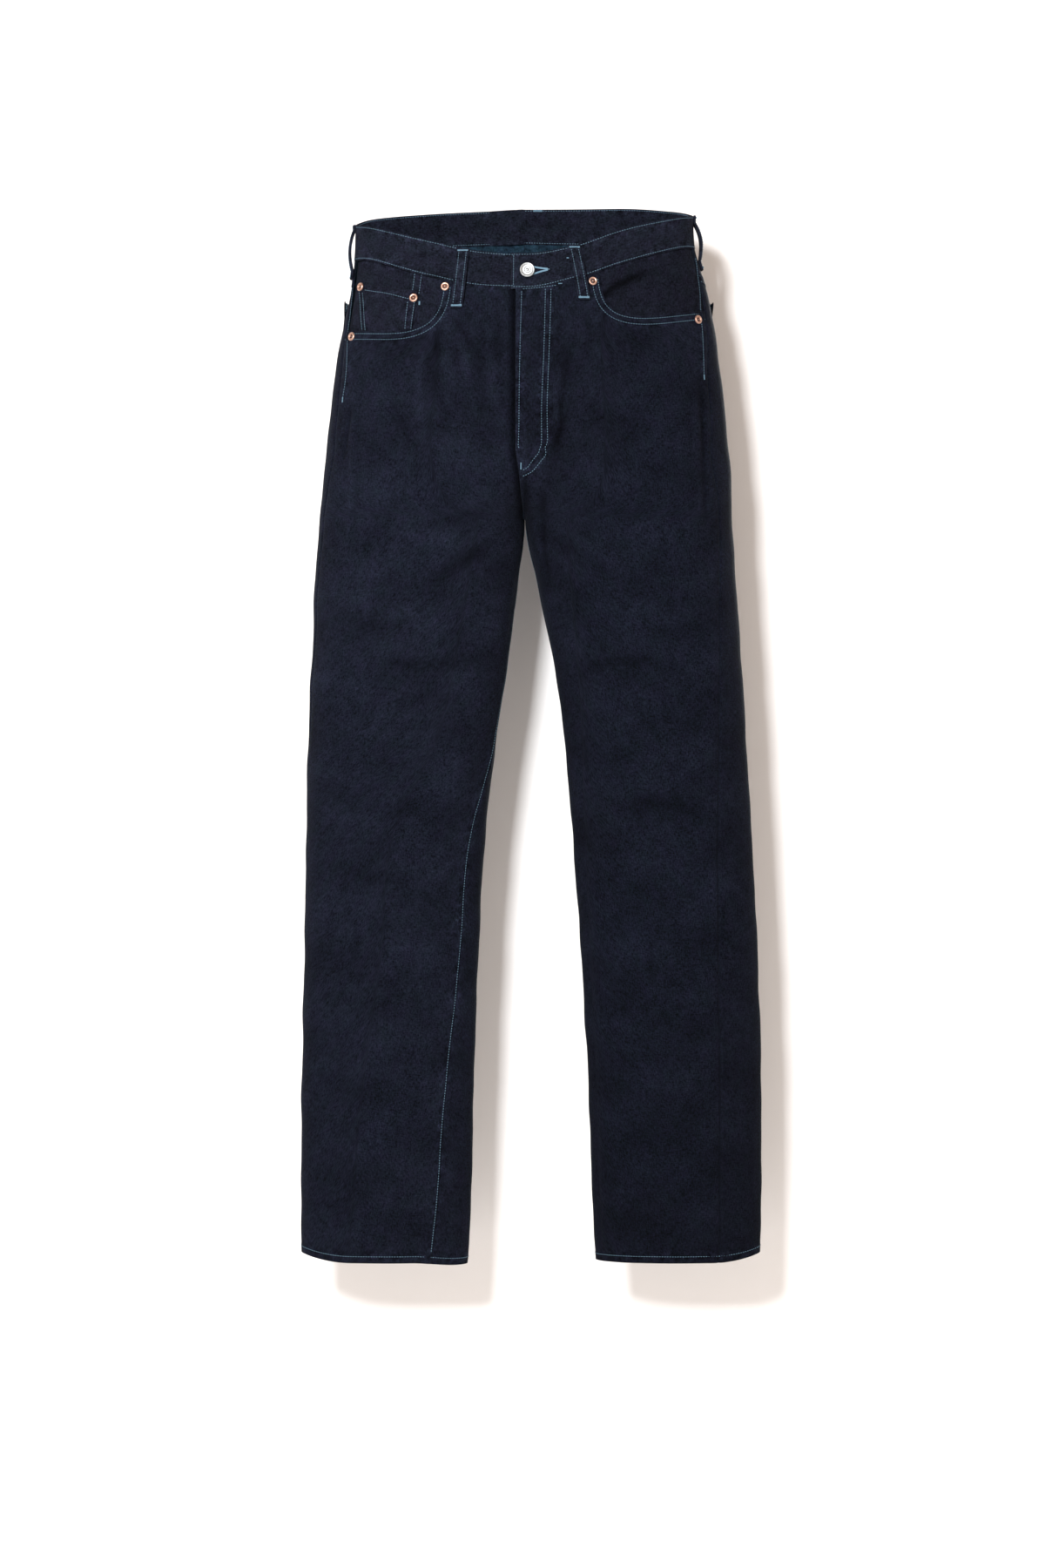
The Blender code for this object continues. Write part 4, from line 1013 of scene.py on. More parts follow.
# %% Fly and coin pocket
fly_rows = [
    [(-3.9, -62.6), (-5.8, -127.8), (-6.7, -180.0), (-7.0, -215.0), (-6.9, -237.5)],
    [(22.3, -59.8), (20.6, -128.2), (17.9, -197.1), (17.9, -230.4), (15.4, -240.8), (9.8, -249.0),
     (3.2, -257.6), (-3.2, -261.8)],
    [(28.5, -59.8), (26.4, -128.2), (24.1, -197.1), (24.6, -226.4), (22.6, -242.0), (16.8, -252.4),
     (8.0, -262.4), (-3.2, -268.1)]]
for points in fly_rows:
    sew("front", 1, *picture_path(1, points), 0.0007)

coin_rows = [
    [(180.5, -55.7), (155.1, -61.7), (130.5, -68.9)], [(187.3, -54.6), (185.1, -77.2), (182.7, -102.7)],
    [(183.1, -58.0), (181.2, -77.7), (179.1, -103.0)], [(130.7, -72.1), (132.4, -87.9), (134.0, -105.5)],
    [(123.2, -72.4), (125.2, -88.2), (127.4, -105.7)]]
facing_rows = [
    [(123.4, -39.9), (124.7, -51.1), (126.3, -62.9)], [(115.6, -41.0), (117.1, -52.3), (118.7, -64.1)]]
for rows, out in ((coin_rows, COIN_OUT), (facing_rows, facing_out(-1))):
    for points in rows:
        sew("front", -1, *picture_path(-1, points, steps=60), out + 0.0001)
sew("front", 1, *picture_path(1, [(-3.0, -60.6), (16.3, -58.7), (35.5, -56.2)], steps=60), BAND_PROUD)
print("fly and coin pocket rows:", len(STITCH_ROWS["front"]))

# %% Band, yoke, seat, pockets, legs
band_rows = ((waist_top, -EDGE_ROW), (waist_bottom, 0.0021))
for side in (-1, 1):
    angle = np.linspace(band_angle(OVER_END + 0.002 if side > 0 else 0.0115), 90, 500)
    inside_angle = np.linspace(-84, 90, 400)
    for edge, inward in band_rows:
        sew("band", side, angle, edge(side, angle) + inward, BAND_PROUD)
    for edge, inward in band_rows:
        z = edge(side, inside_angle) + inward
        points = lifted(side, inside_angle, z, BAND_PROUD - BAND_THICK)
        STITCH_ROWS["band"].append((points, -normal(side, inside_angle, z), PITCH, 0.00062))
    low = np.linspace(float(seam_angle(side, -0.05)) + 1.0, 89.7, 300)
    for up in (NEAR_ROW, FAR_ROW):
        sew("seat", side, low, yoke_seam(low) + up, 0.0006)
    z = np.linspace(HEM_LEVEL + 0.012, CROTCH - 0.010, 900)
    edge = -end_angle(z, False)
    sew("legs", side, edge + 0.0021 / degree_length(side, edge + 2, z), z, 0.0005)
    angle = np.linspace(-180, 180, 500)
    sew("legs", side, angle, hem_height(side, angle) + 0.0076, 0.0004)
for away in (NEAR_ROW, FAR_ROW):
    z = np.linspace(float(waist_bottom(1, 90.0)) - 0.002, CROTCH + 0.016, 400)
    edge = end_angle(z, True)
    sew("seat", 1, edge - away / degree_length(1, edge - 3, z), z, 0.0006)
over_z = np.linspace(float(waist_top(1, -90.0)) - 0.0025, float(waist_bottom(1, -90.0)) + 0.0025, 60)
sew("band", 1, np.full(60, band_angle(OVER_END + 0.0026)), over_z, BAND_PROUD)

for side in (-1, 1):
    out = PATCH_GAP + DENIM + 0.0003
    t = np.linspace(0, 1, 200)
    for inset in (0.013, 0.055):
        for fixed in (inset, 1 - inset):
            angle, z = back_pocket_grid(side, np.array([fixed]), 0.004 + t * (0.985 - inset))
            sew("seat", side, angle[:, 0], z[:, 0], out)
        angle, z = back_pocket_grid(side, inset + t * (1 - 2 * inset), np.array([1 - inset]))
        sew("seat", side, angle[0], z[0], out)
    for down in (0.012, 0.085):
        angle, z = back_pocket_grid(side, 0.004 + t * 0.992, np.array([down]))
        sew("seat", side, angle[0], z[0], out)

for name in LOOPS:
    rows = np.linspace(0.03, 0.97, 160)
    seat, across, away, off = loop_frame(name, rows)
    for apart in (-0.30, 0.30):
        points = seat + across * (apart * LOOP_WIDTH) + away * (off + LOOP_THICK + 0.0001)[:, None]
        STITCH_ROWS["loops"].append((points, away, 0.0028, 0.0006))
print({k: len(v) for k, v in STITCH_ROWS.items()})

# %% [markdown]
# Bar tacks are short, dense bars of thread that hold the ends of seams and loops. The buttonhole is
# worked the same way, with stitches that stand across its edge, and a round eye at one end.

# %% Tacks and buttonhole
TACKS = {"front": [], "loops": [], "seat": []}


def tack(group, middle, across, out, length, width):
    """A bar tack: stitches that lie across a short bar. middle is its centre, across the bar's own
    direction, out the cloth's normal."""
    along = unit(across)
    n = max(3, int(length / TACK_PITCH))
    t = (np.arange(n) - (n - 1) / 2) * TACK_PITCH
    ways = np.tile(np.cross(out, along), (n, 1))
    TACKS[group].append((middle + along * t[:, None], ways, np.tile(out, (n, 1)), width))


def tack_on(group, side, x, z, out, length, width, upright):
    """A bar tack at x and height in millimetres, upright or level."""
    z = z / 1000
    angle = angle_at(side, x / 1000, z)
    away = normal(side, angle, z)
    level = unit(bare_point(side, angle + 0.5, z) - bare_point(side, angle - 0.5, z))
    direction = np.cross(away, level) if upright else level
    tack(group, lifted(side, angle, z, out), direction, away, length, width)


for name, (side, *_) in LOOPS.items():
    for share, thickness in ((0.04, 0.0019), (0.955, 0.0027)):
        seat, across, away, off = loop_frame(name, np.array([share - 0.001, share, share + 0.001]))
        middle = seat[1] + away[1] * (off[1] + LOOP_THICK + 0.0002)
        tack("loops", middle, across[1], away[1], LOOP_WIDTH * 0.92, thickness)
top_z = float(waist_top(1, 86.0)) - 0.0016
tack("loops", lifted(1, 86.0, top_z, BAND_PROUD - BAND_THICK), np.array([1.0, 0, 0]),
     np.array([0, -1.0, 0]), 0.011, 0.0026)
# Side, x and height in millimetres, how far out, length, width and whether it stands upright.
for row in ((1, -4.8, -257.0, 0.0008, 0.008, 0.0014, True),
            (-1, 203.4, -179.3, 0.0004, 0.006, 0.0018, True),
            (1, 199.4, -154.6, 0.0004, 0.006, 0.0018, True),
            (-1, 118.0, -74.0, facing_out(-1) + 0.0002, 0.005, 0.0020, True),
            (1, 38.6, -54.3, BAND_PROUD + 0.0002, 0.005, 0.0012, False),
            (1, 47.1, -25.3, BAND_PROUD + 0.0002, 0.003, 0.0014, False)):
    tack_on("front", *row)
for side in (-1, 1):
    for across_share in (0.035, 0.965):
        angle, z = back_pocket_grid(side, np.array([across_share]), np.array([0.018]))
        angle, z = angle[0, 0], z[0, 0]
        middle = lifted(side, angle, z, PATCH_GAP + DENIM + 0.0005)
        tack("seat", middle, np.array([0, 0, 1.0]), normal(side, angle, z), 0.009, 0.0018)

BUTTON_X, BUTTON_Z, BUTTON_RADIUS = 0.0018, -0.0399, 0.0083
hole_start, hole_end = np.array([0.0060, -0.0397]), np.array([0.0248, -0.0383])


def buttonhole():
    """Threads across the edge of the hole, which the button's shank pulls open: two runs that start
    wide apart beside the button and meet at a point. Each thread points away from the middle line."""
    along = unit(hole_end - hole_start)
    side_way = np.array([-along[1], along[0]])
    length = np.linalg.norm(hole_end - hole_start)
    t = np.arange(0.0, length, 0.00055)
    half_open = 0.0042 * (1 - t / length) ** 1.3 + 0.0007
    spots, ways = [], []
    for sign in (-1, 1):
        spots.append(hole_start + along * t[:, None] + side_way * (sign * half_open)[:, None])
        ways.append(np.tile(side_way * sign, (len(t), 1)))
    spots.append(hole_end + along * np.array([[0.0], [0.0006], [0.0012]]))
    ways.append(np.tile(along, (3, 1)))
    spots, ways = np.concatenate(spots), np.concatenate(ways)
    angle = np.array([angle_at(1, x, z) for x, z in spots])
    out = normal(1, angle, spots[:, 1])
    middle = lifted(1, angle, spots[:, 1], BAND_PROUD + 0.00015)
    level = unit(np.cross(out, [0, 0, 1.0]))
    level *= np.sign(level[:, :1])
    upright = np.cross(level, out)
    upright *= np.sign(upright[:, 2:])
    way = level * ways[:, :1] + upright * ways[:, 1:]
    TACKS["front"].append((middle, way, out, 0.0021))


buttonhole()
print("tacks:", {k: len(v) for k, v in TACKS.items()})

# %% [markdown]
# Now all the paths become thread. One bead is a little ring-sided spindle, flattened and bent down at
# its ends. It is placed at every pitch along each row in one array operation, so thousands of stitches
# cost no loop.

# %% Thread meshes
def bead_template(rings=5, sides=6):
    """A spindle one long, wide and high: its radius is (1 - |x|^3)^0.5 and its middle stands up."""
    x = np.linspace(-0.94, 0.94, rings)
    radius = (1 - abs(x) ** 3) ** 0.5
    turn = np.linspace(0, 2 * math.pi, sides, endpoint=False)
    rise = 0.35 * (1 - x[:, None] ** 2) - 0.15
    body = np.stack([np.repeat(x / 2, sides), (radius[:, None] * np.cos(turn) / 2).ravel(),
                     (radius[:, None] * np.sin(turn) / 2 + rise).ravel()], axis=1)
    quads = grid_quads(rings, sides, ring=True)
    first = np.array([[0, 1, 2, 3], [0, 3, 4, 5]])
    last = first[:, ::-1] + (rings - 1) * sides
    return body, np.concatenate([quads, first, last])


BEAD, BEAD_QUADS = bead_template()


def square_to(out, along):
    """Normals turned square to the threads' directions."""
    return unit(out - (out * along).sum(axis=1, keepdims=True) * along)


def place_beads(centres, along, out, length, width):
    """Every bead at once: centre + x length along + y width across + z 0.8 width out."""
    across = unit(np.cross(out, along))
    axes = (length * along, width * across, 0.8 * width * np.cross(along, across))
    points = centres[:, None, :] + sum(BEAD[None, :, i:i + 1] * axes[i][:, None, :] for i in range(3))
    return points.reshape(-1, 3)


def row_beads(points, out, pitch, width):
    """Centres, directions and normals at every pitch along a path."""
    run = path_length(points)
    at = np.arange(pitch / 2, run[-1], pitch)

    def along_path(where, values):
        return np.stack([np.interp(where, run, values[:, i]) for i in range(3)], axis=1)

    centres = along_path(at, points)
    along = unit(along_path(at + 0.0006, points) - along_path(at - 0.0006, points))
    return place_beads(centres, along, square_to(along_path(at, out), along), pitch * 0.58, width), centres


def thread_piece(name, group):
    """All the stitches of one group as one mesh."""
    blocks, centres = [], []
    for points, out, pitch, width in STITCH_ROWS.get(group, []):
        block, middle = row_beads(points, out, pitch, width)
        blocks.append(block)
        centres.append(middle)
    for middle, way, out, length in TACKS.get(group, []):
        way = unit(way)
        blocks.append(place_beads(middle, way, square_to(out, way), length, TACK_THREAD))
    points = np.concatenate(blocks)
    count = len(points) // len(BEAD)
    quads = (BEAD_QUADS[None] + (np.arange(count) * len(BEAD))[:, None, None]).reshape(-1, 4)
    piece = piece_from(name, points, quads, points[:, [0, 2]], np.zeros(len(quads)))
    print(name, "stitches:", count)
    return piece, np.concatenate(centres) if centres else np.zeros((0, 3))


threads, stitch_centres = {}, []
for group in STITCH_ROWS:
    threads[group], found = thread_piece("thread_" + group, group)
    stitch_centres.append(found)
stitch_centres = np.concatenate(stitch_centres)

# %% [markdown]
# Sewn cloth puckers beside its stitches. The finish can show that if it knows how near the sewing is, so
# each piece stores that as a value at its points: 1 on a row, fading over about a centimetre.

# %% Nearness to the sewing
def near_sewing(points, reach=0.007):
    """exp(-(distance / reach)^2) to the nearest stitch, worked out in blocks of points."""
    few = stitch_centres[::2].astype(np.float32)
    found = np.zeros(len(points), np.float32)
    for start in range(0, len(points), 4000):
        block = points[start:start + 4000].astype(np.float32)
        low, high = block.min(axis=0) - 0.02, block.max(axis=0) + 0.02
        close = few[((few > low) & (few < high)).all(axis=1)]
        if len(close):
            square = ((block ** 2).sum(axis=1)[:, None] + (close ** 2).sum(axis=1)[None]
                      - 2 * block @ close.T).min(axis=1)
            found[start:start + 4000] = np.exp(-np.maximum(square, 0) / reach ** 2)
    return found


# Columns: height, and how bright the wearer's right and left sides are painted there: painted light and
# shade, lighter on the wearer's right, where the light falls, and darker towards the hem.
PAINTED_SHADE_BY_HEIGHT = np.array([(-1.16, 0.74, 0.50), (-0.90, 0.84, 0.64), (-0.62, 0.92, 0.73), (-0.33, 1.00, 0.78),
                 (-0.20, 0.93, 0.76), (0.06, 0.95, 0.95)])


def painted_light_and_shade(name, points):
    """Painted light and shade, a value the colour is multiplied by: a painted gradient that is lighter on
    the wearer's right, lightest at the thighs and darker towards the hem, painted shade down in the folds
    with a painted highlight on their ridges, and painted shade behind the fly's edge, along the crotch seam
    and over the left pocket facing."""
    x, z = points[:, 0], points[:, 2]
    value = np.ones(len(points))
    for side in (-1, 1):
        mine = x * side >= 0
        # Painted light and shade by side and height: lighter on the wearer's right, darker towards the hem.
        value[mine] = smooth(PAINTED_SHADE_BY_HEIGHT[:, 0], PAINTED_SHADE_BY_HEIGHT[:, 1 if side < 0 else 2], z[mine])
        # Painted shade down in the folds, and a painted highlight on their ridges.
        depth = small_folds(side, points[mine].astype(float)) * 1000
        value[mine] *= np.clip(1 - 0.28 * depth, 0.35, 1.40)
    # Painted shade in the valley beside the fly's edge.
    if name == "front_right":
        away = -x - fly_lap(z) - 0.0005
        value *= 1 - 0.80 * np.exp(-(away / 0.0052) ** 2) * ramp(z, CROTCH - 0.010, CROTCH + 0.010)
    # Painted shade along the crotch seam below the fly.
    if name.startswith("front"):
        value *= 1 - 0.55 * np.exp(-(x / 0.0040) ** 2) * ramp(z, -0.262, -0.275)
    # Painted shade over the left pocket facing, deepest in its fold, with a painted highlight beside the
    # fold.
    if name == "pocket_facing_piece_left":
        angle = np.array([angle_at(1, v, h) for v, h in zip(x, z)])
        value *= 0.86 * np.clip(1 + 300 * pocket_fold(1, angle, z), 0.30, 1.2)
    return value


for name, kept in PIECES.items():
    mesh = kept["object"].data
    points = np.empty(len(mesh.vertices) * 3, np.float32)
    mesh.vertices.foreach_get("co", points)
    points = points.reshape(-1, 3)
    for label, value in (("sewn", near_sewing(points)), ("painted_light_and_shade", painted_light_and_shade(name, points))):
        mesh.attributes.new(label, "FLOAT", "POINT").data.foreach_set("value", value.astype(np.float32))
print("pieces with sewing and wear values:", len(PIECES))

# %% [markdown]
# ## Button and rivets
# The metal is turned: a profile of radius and height, carried round its axis. The button is a dished
# cap with a raised rim and plain rings. Each rivet is a low ring round a pointed nail end.

# %% Metal
def turned(name, node, profile, place, facing, steps=56):
    """A surface of revolution: each profile point (r, h) becomes r cos t and r sin t across the axis and
    h along it. Both ends lie on the axis and are closed with a ring of tiny radius."""
    facing = unit(facing)
    level = unit(np.cross([0, 0, 1.0], facing))
    profile = np.array(profile)
    turn = np.linspace(0, 2 * math.pi, steps, endpoint=False)
    ring = np.cos(turn)[:, None] * level + np.sin(turn)[:, None] * np.cross(facing, level)
    radius = np.maximum(profile[:, 0], 1e-5)
    points = place + radius[:, None, None] * ring[None] + profile[:, 1][:, None, None] * facing
    rows = len(profile)
    quads = grid_quads(rows, steps, ring=True)
    caps = []
    for row in (0, rows - 1):
        fan = np.stack([np.zeros(steps // 2 - 1, int), np.arange(1, steps - 1, 2), np.arange(2, steps, 2),
                        np.arange(3, steps + 1, 2) % steps], axis=1) + row * steps
        caps.append(fan if row == 0 else fan[:, ::-1])
    uv = np.stack(np.broadcast_arrays(profile[:, :1], turn), axis=-1)
    quads = np.concatenate([quads, *caps])
    piece = piece_from(name, points.reshape(-1, 3), quads, uv.reshape(-1, 2), np.zeros(len(quads)))
    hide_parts(node)
    return piece


def rounded(points, per_span=5):
    """A smooth profile through a few points."""
    points = np.array(points, float)
    t = np.arange(len(points), dtype=float)
    s = np.linspace(0, len(points) - 1, (len(points) - 1) * per_span + 1)
    return np.stack([smooth(t, points[:, 0], s), smooth(t, points[:, 1], s)], axis=1)


r = BUTTON_RADIUS
button_angle = band_angle(BUTTON_X)
button_profile = rounded([
    (0, 0.0046), (0.10 * r, 0.0045), (0.17 * r, 0.0040), (0.24 * r, 0.0036), (0.34 * r, 0.0036),
    (0.40 * r, 0.0040), (0.46 * r, 0.0036), (0.66 * r, 0.0036), (0.72 * r, 0.0039), (0.80 * r, 0.0043),
    (0.90 * r, 0.0045), (0.97 * r, 0.0040), (r, 0.0031), (0.96 * r, 0.0022), (0.60 * r, 0.0016),
    (0.42 * r, 0.0010), (0.42 * r, 0.0001), (0, 0.0001)])
button = turned("waist_button_cap", "waist_button", button_profile,
                lifted(1, button_angle, BUTTON_Z, BAND_PROUD + GAP), normal(1, button_angle, BUTTON_Z))

# Each rivet's side, share of the half-width, height and how far in its cloth lies.
RIVETS = {"rivet_coin_outer": (-1, 0.948, -0.0517, 0.0018),
          "rivet_coin_inner": (-1, 0.625, -0.0685, 0.0018),
          "rivet_scoop_right_top": (-1, 0.452, -0.0570, 0.0),
          "rivet_scoop_right_side": (-1, 0.933, -0.1085, 0.0),
          "rivet_scoop_left_top": (1, 0.367, -0.0511, 0.0),
          "rivet_scoop_left_side": (1, 0.909, -0.0900, 0.0)}
r = 0.0048
rivet_profile = rounded([(0, 0.0013), (0.10 * r, 0.0012), (0.18 * r, 0.0006), (0.28 * r, 0.0001),
                         (0.42 * r, 0.0001), (0.50 * r, 0.0008), (0.60 * r, 0.0014), (0.76 * r, 0.0016),
                         (0.90 * r, 0.0013), (r, 0.0006), (r, -0.0003), (0, -0.0003)], 4)
rivets = []
for name, (side, share, z, below) in RIVETS.items():
    angle = float(angle_at_share(share))
    rivets.append(turned(name + "_ring", name, rivet_profile, lifted(side, angle, z, 0.0005 - below),
                         normal(side, angle, z), 40))
print("button and rivets:", 1 + len(rivets))

# %% [markdown]
# ## Finishes
# Denim is a twill: dark blue warp threads lie over pale ones, so the face is dark and the back pale. The
# warp yarn is uneven, which gives fine vertical streaks. Node groups hold what several finishes share.

# %% Node helpers
def feed(node, inputs):
    """Links a socket to each named input of a node, or sets its value."""
    for name, value in inputs.items():
        if isinstance(value, bpy.types.NodeSocket):
            node.id_data.links.new(value, node.inputs[name])
        else:
            node.inputs[name].default_value = value


def add(tree, kind, output=None, inputs=None, **settings):
    """A new node, or one of its outputs. The settings are its own, such as a Mix node's data type."""
    node = tree.nodes.new("ShaderNode" + kind)
    for name, value in settings.items():
        setattr(node, name, value)
    feed(node, inputs or {})
    return node.outputs[output] if output else node


def combine(operation, first, second, clamp=False):
    """A Math node fed by sockets or numbers, in the tree of a socket that feeds it."""
    tree = next(v for v in (first, second) if isinstance(v, bpy.types.NodeSocket)).id_data
    return add(tree, "Math", "Value", {0: first, 1: second}, operation=operation, use_clamp=clamp)


def times(first, second, clamp=False):
    return combine("MULTIPLY", first, second, clamp)


def plus(first, second, clamp=False):
    return combine("ADD", first, second, clamp)


def minus(first, second, clamp=False):
    return combine("SUBTRACT", first, second, clamp)


def noise(vector, scale, detail, roughness=0.5):
    return add(vector.id_data, "TexNoise", "Fac",
               {"Scale": scale, "Detail": detail, "Roughness": roughness, "Vector": vector})


def stretch(vector, scale, angle=0.0):
    """A Mapping node that scales and turns a pattern."""
    return add(vector.id_data, "Mapping", "Vector",
               {"Scale": scale, "Rotation": (0, 0, angle), "Vector": vector})


def between(tree, factor, first, second):
    """A colour between two, each given as a socket or as red, green and blue."""
    first, second = (v if isinstance(v, bpy.types.NodeSocket) else (*v, 1) for v in (first, second))
    return add(tree, "Mix", "Result", {"A": first, "B": second, "Factor": factor}, data_type="RGBA")


def bumped(tree, shader, height, distance):
    """Bump on a shader's own normal."""
    feed(shader, {"Normal": add(tree, "Bump", "Normal", {"Distance": distance, "Height": height})})


def new_material(name):
    material = bpy.data.materials.new(name)
    material.use_nodes = True
    return material, material.node_tree, material.node_tree.nodes["Principled BSDF"]


def new_group(name, inputs, outputs):
    """An empty node group. An input without a value is a vector, and all the others are numbers."""
    group = bpy.data.node_groups.new(name, "ShaderNodeTree")
    for label, default in inputs.items():
        kind = "NodeSocketVector" if default is None else "NodeSocketFloat"
        socket = group.interface.new_socket(label, in_out="INPUT", socket_type=kind)
        if default is not None:
            socket.default_value = default
    for label in outputs:
        group.interface.new_socket(label, in_out="OUTPUT", socket_type="NodeSocketFloat")
    return group, group.nodes.new("NodeGroupInput").outputs, group.nodes.new("NodeGroupOutput")


def denim_weave():
    """Twill ribs a millimetre apart, slub streaks along both yarns, specks, and two sizes of cloudiness.
    It puts out a height for the Bump node, a shade to multiply the colour by, and a hue to mix it by."""
    tree, given, end = new_group("denim_weave", {"Vector": None, "Slub": 1.0, "Cloud": 1.0},
                                 ("Height", "Shade", "Hue"))
    vector = given["Vector"]
    twill = stretch(vector, (330, 330, 1), math.radians(-58))
    rib = add(tree, "TexWave", "Fac", {"Scale": 1.0, "Distortion": 1.2, "Detail": 1.0, "Vector": twill})

    def part(scale, detail, roughness, amount):
        raw = noise(stretch(vector, (*scale, 1)), 1.0, detail, roughness)
        return times(minus(raw, 0.5), amount), raw

    streak, raw = part((820, 240), 2.0, 0.6, 2.6)
    cross, _ = part((240, 760), 2.0, 0.6, 1.8)
    grain, _ = part((430, 430), 3.0, 0.7, 1.9)
    speck = noise(stretch(vector, (560, 420, 1)), 1.0, 3.0, 0.7)
    uneven = plus(plus(streak, cross), plus(grain, times(minus(speck, 0.63, clamp=True), 9.0)))
    cloud, _ = part((95, 70), 4.0, 0.6, 1.3)
    broad, _ = part((16, 10), 2.0, 0.5, 0.55)
    hue, _ = part((60, 45), 4.0, 0.7, 2.6)
    shade = plus(times(uneven, given["Slub"]), times(plus(cloud, broad), given["Cloud"]))
    feed(end, {"Shade": combine("MAXIMUM", plus(shade, 1.0), 0.22), "Hue": plus(hue, 0.5, clamp=True),
               "Height": plus(times(rib, 0.6), times(raw, 0.7))})
    return tree


def pucker_folds():
    """Small ripples that stand beside the sewing: a medium noise times the sewing value. Their shade is
    painted light and shade, lighter where the ripples rise and darker between them.
    """
    tree, given, end = new_group("pucker_folds", {"Vector": None, "Sewn": 0.0}, ("Height", "Shade"))
    ripple = noise(stretch(given["Vector"], (150, 150, 150)), 1.0, 1.0)
    # Painted light and shade of the ripples: lighter where they rise, darker between them.
    light = times(minus(ripple, 0.45), given["Sewn"])
    feed(end, {"Height": times(ripple, given["Sewn"]), "Shade": plus(times(light, 3.0), 1.0)})
    return tree


WEAVE, PUCKER = denim_weave(), pucker_folds()
print("groups:", WEAVE.name, PUCKER.name)

# %% Denim and thread
def cloth_finish(name, colour, slub=1.0, cloud=1.0, weave_bump=0.00012, sheen=0.02, specular=0.03):
    """Cloth whose colour turns slowly from a violet blue to a grey blue, multiplied by the shades of the
    weave and the puckers and by the painted light and shade value, with the weave and the puckers in the
    bump too."""
    material, tree, shader = new_material(name)
    uv = add(tree, "UVMap", "UV", uv_map="cloth")
    place = add(tree, "TexCoord", "Object")
    sewn, painted_light_value = (add(tree, "Attribute", "Fac", attribute_name=label) for label in ("sewn", "painted_light_and_shade"))
    weave = add(tree, "Group", inputs={"Slub": slub, "Cloud": cloud, "Vector": uv}, node_tree=WEAVE)
    pucker = add(tree, "Group", inputs={"Vector": place, "Sewn": sewn}, node_tree=PUCKER)
    # The colour is multiplied by the weave's shade, the puckers' painted light and shade, and the painted
    # light and shade value.
    shade = times(times(weave.outputs["Shade"], pucker.outputs["Shade"]), painted_light_value)
    violet = (colour[0] * 1.10, colour[1] * 0.96, colour[2] * 1.10)
    grey = (colour[0] * 0.90, colour[1] * 1.03, colour[2] * 0.93)
    hue = between(tree, weave.outputs["Hue"], violet, grey)
    tint = add(tree, "VectorMath", "Vector", {0: hue, "Scale": shade}, operation="SCALE")
    bumped(tree, shader, plus(times(weave.outputs["Height"], weave_bump * 1000),
                              times(pucker.outputs["Height"], 1.6)), 0.001)
    feed(shader, {"Base Color": tint, "Roughness": 0.9, "Specular IOR Level": specular,
                  "Sheen Weight": sheen, "Sheen Roughness": 0.45, "Sheen Tint": (0.55, 0.65, 0.85, 1)})
    return material


denim_face = cloth_finish("indigo_denim", (0.0056, 0.0072, 0.0132))
denim_back = cloth_finish("denim_reverse", (0.0098, 0.0228, 0.0372), slub=0.8, cloud=0.4)
band_face = cloth_finish("band_denim", (0.0072, 0.0090, 0.0155), cloud=1.3)
facing_face = cloth_finish("facing_denim", (0.0066, 0.0080, 0.0140))
pocketing = cloth_finish("pocket_cotton", (0.50, 0.48, 0.42), slub=0.15, cloud=0.1)
for name, kept in PIECES.items():
    face, back, slot = denim_face, denim_back, "denim"
    if name.startswith(("waistband", "belt_loop")):
        face, back, slot = band_face, band_face, "denim_band"
    elif name.startswith("pocket_bag"):
        face, back, slot = pocketing, pocketing, "pocketing"
    elif name.startswith(("pocket_facing", "coin")):
        face = facing_face
    elif name.startswith("hem"):
        face, back = denim_back, denim_face
    kept["object"].data.materials.append(face)
    kept["object"].data.materials.append(back)


def thread_finish():
    """Twisted thread: a fine uneven bump, satin, pale blue, lighter and darker in patches."""
    material, tree, shader = new_material("blue_thread")
    place = add(tree, "TexCoord", "Object")
    uneven, slow = noise(place, 900.0, 2.0), noise(place, 60.0, 2.0)
    share = plus(times(uneven, 0.6), times(slow, 0.5))
    bumped(tree, shader, uneven, 0.0001)
    feed(shader, {"Base Color": between(tree, share, (0.050, 0.115, 0.180), (0.17, 0.30, 0.40)),
                  "Roughness": 0.6, "Specular IOR Level": 0.3})
    return material


blue_thread = thread_finish()
for piece in threads.values():
    piece.data.materials.append(blue_thread)
print("finishes:", [m.name for m in bpy.data.materials])

# %% Metal finishes
def metal_finish(name, colour, dull, roughness, hollow=None):
    """Plated metal: bright and dull in patches, from a noise on the piece.
    Between the two radii of hollow it is tarnished dark."""
    material, tree, shader = new_material(name)
    patch = noise(add(tree, "TexCoord", "Object"), 420.0, 4.0, 0.65)
    sharp = times(minus(patch, 0.30), 2.2, clamp=True)
    tone = between(tree, sharp, dull, colour)
    if hollow:
        radius = add(tree, "SeparateXYZ", "X", {"Vector": add(tree, "UVMap", "UV", uv_map="cloth")})
        dip = times(combine("GREATER_THAN", radius, hollow[0]), combine("LESS_THAN", radius, hollow[1]))
        tone = between(tree, times(dip, 0.9), tone, (0.035, 0.016, 0.012))
    bumped(tree, shader, patch, 0.0001)
    feed(shader, {"Base Color": tone, "Metallic": 1.0,
                  "Roughness": minus(roughness + 0.15, times(sharp, 0.2))})
    return material


nickel = metal_finish("button_nickel", (0.52, 0.55, 0.56), (0.30, 0.32, 0.33), 0.38)
button.data.materials.append(nickel)
copper = metal_finish("rivet_copper", (0.74, 0.52, 0.42), (0.30, 0.16, 0.12), 0.32, (0.0006, 0.0021))
for piece in rivets:
    piece.data.materials.append(copper)
print("metal: nickel button, copper rivets")

# %% [markdown]
# ## How large the cloth was cut
# The size each piece of cloth was cut at is worked out and printed. The lengths are measured on the piece
# itself: its widest row, its longest column and its area.

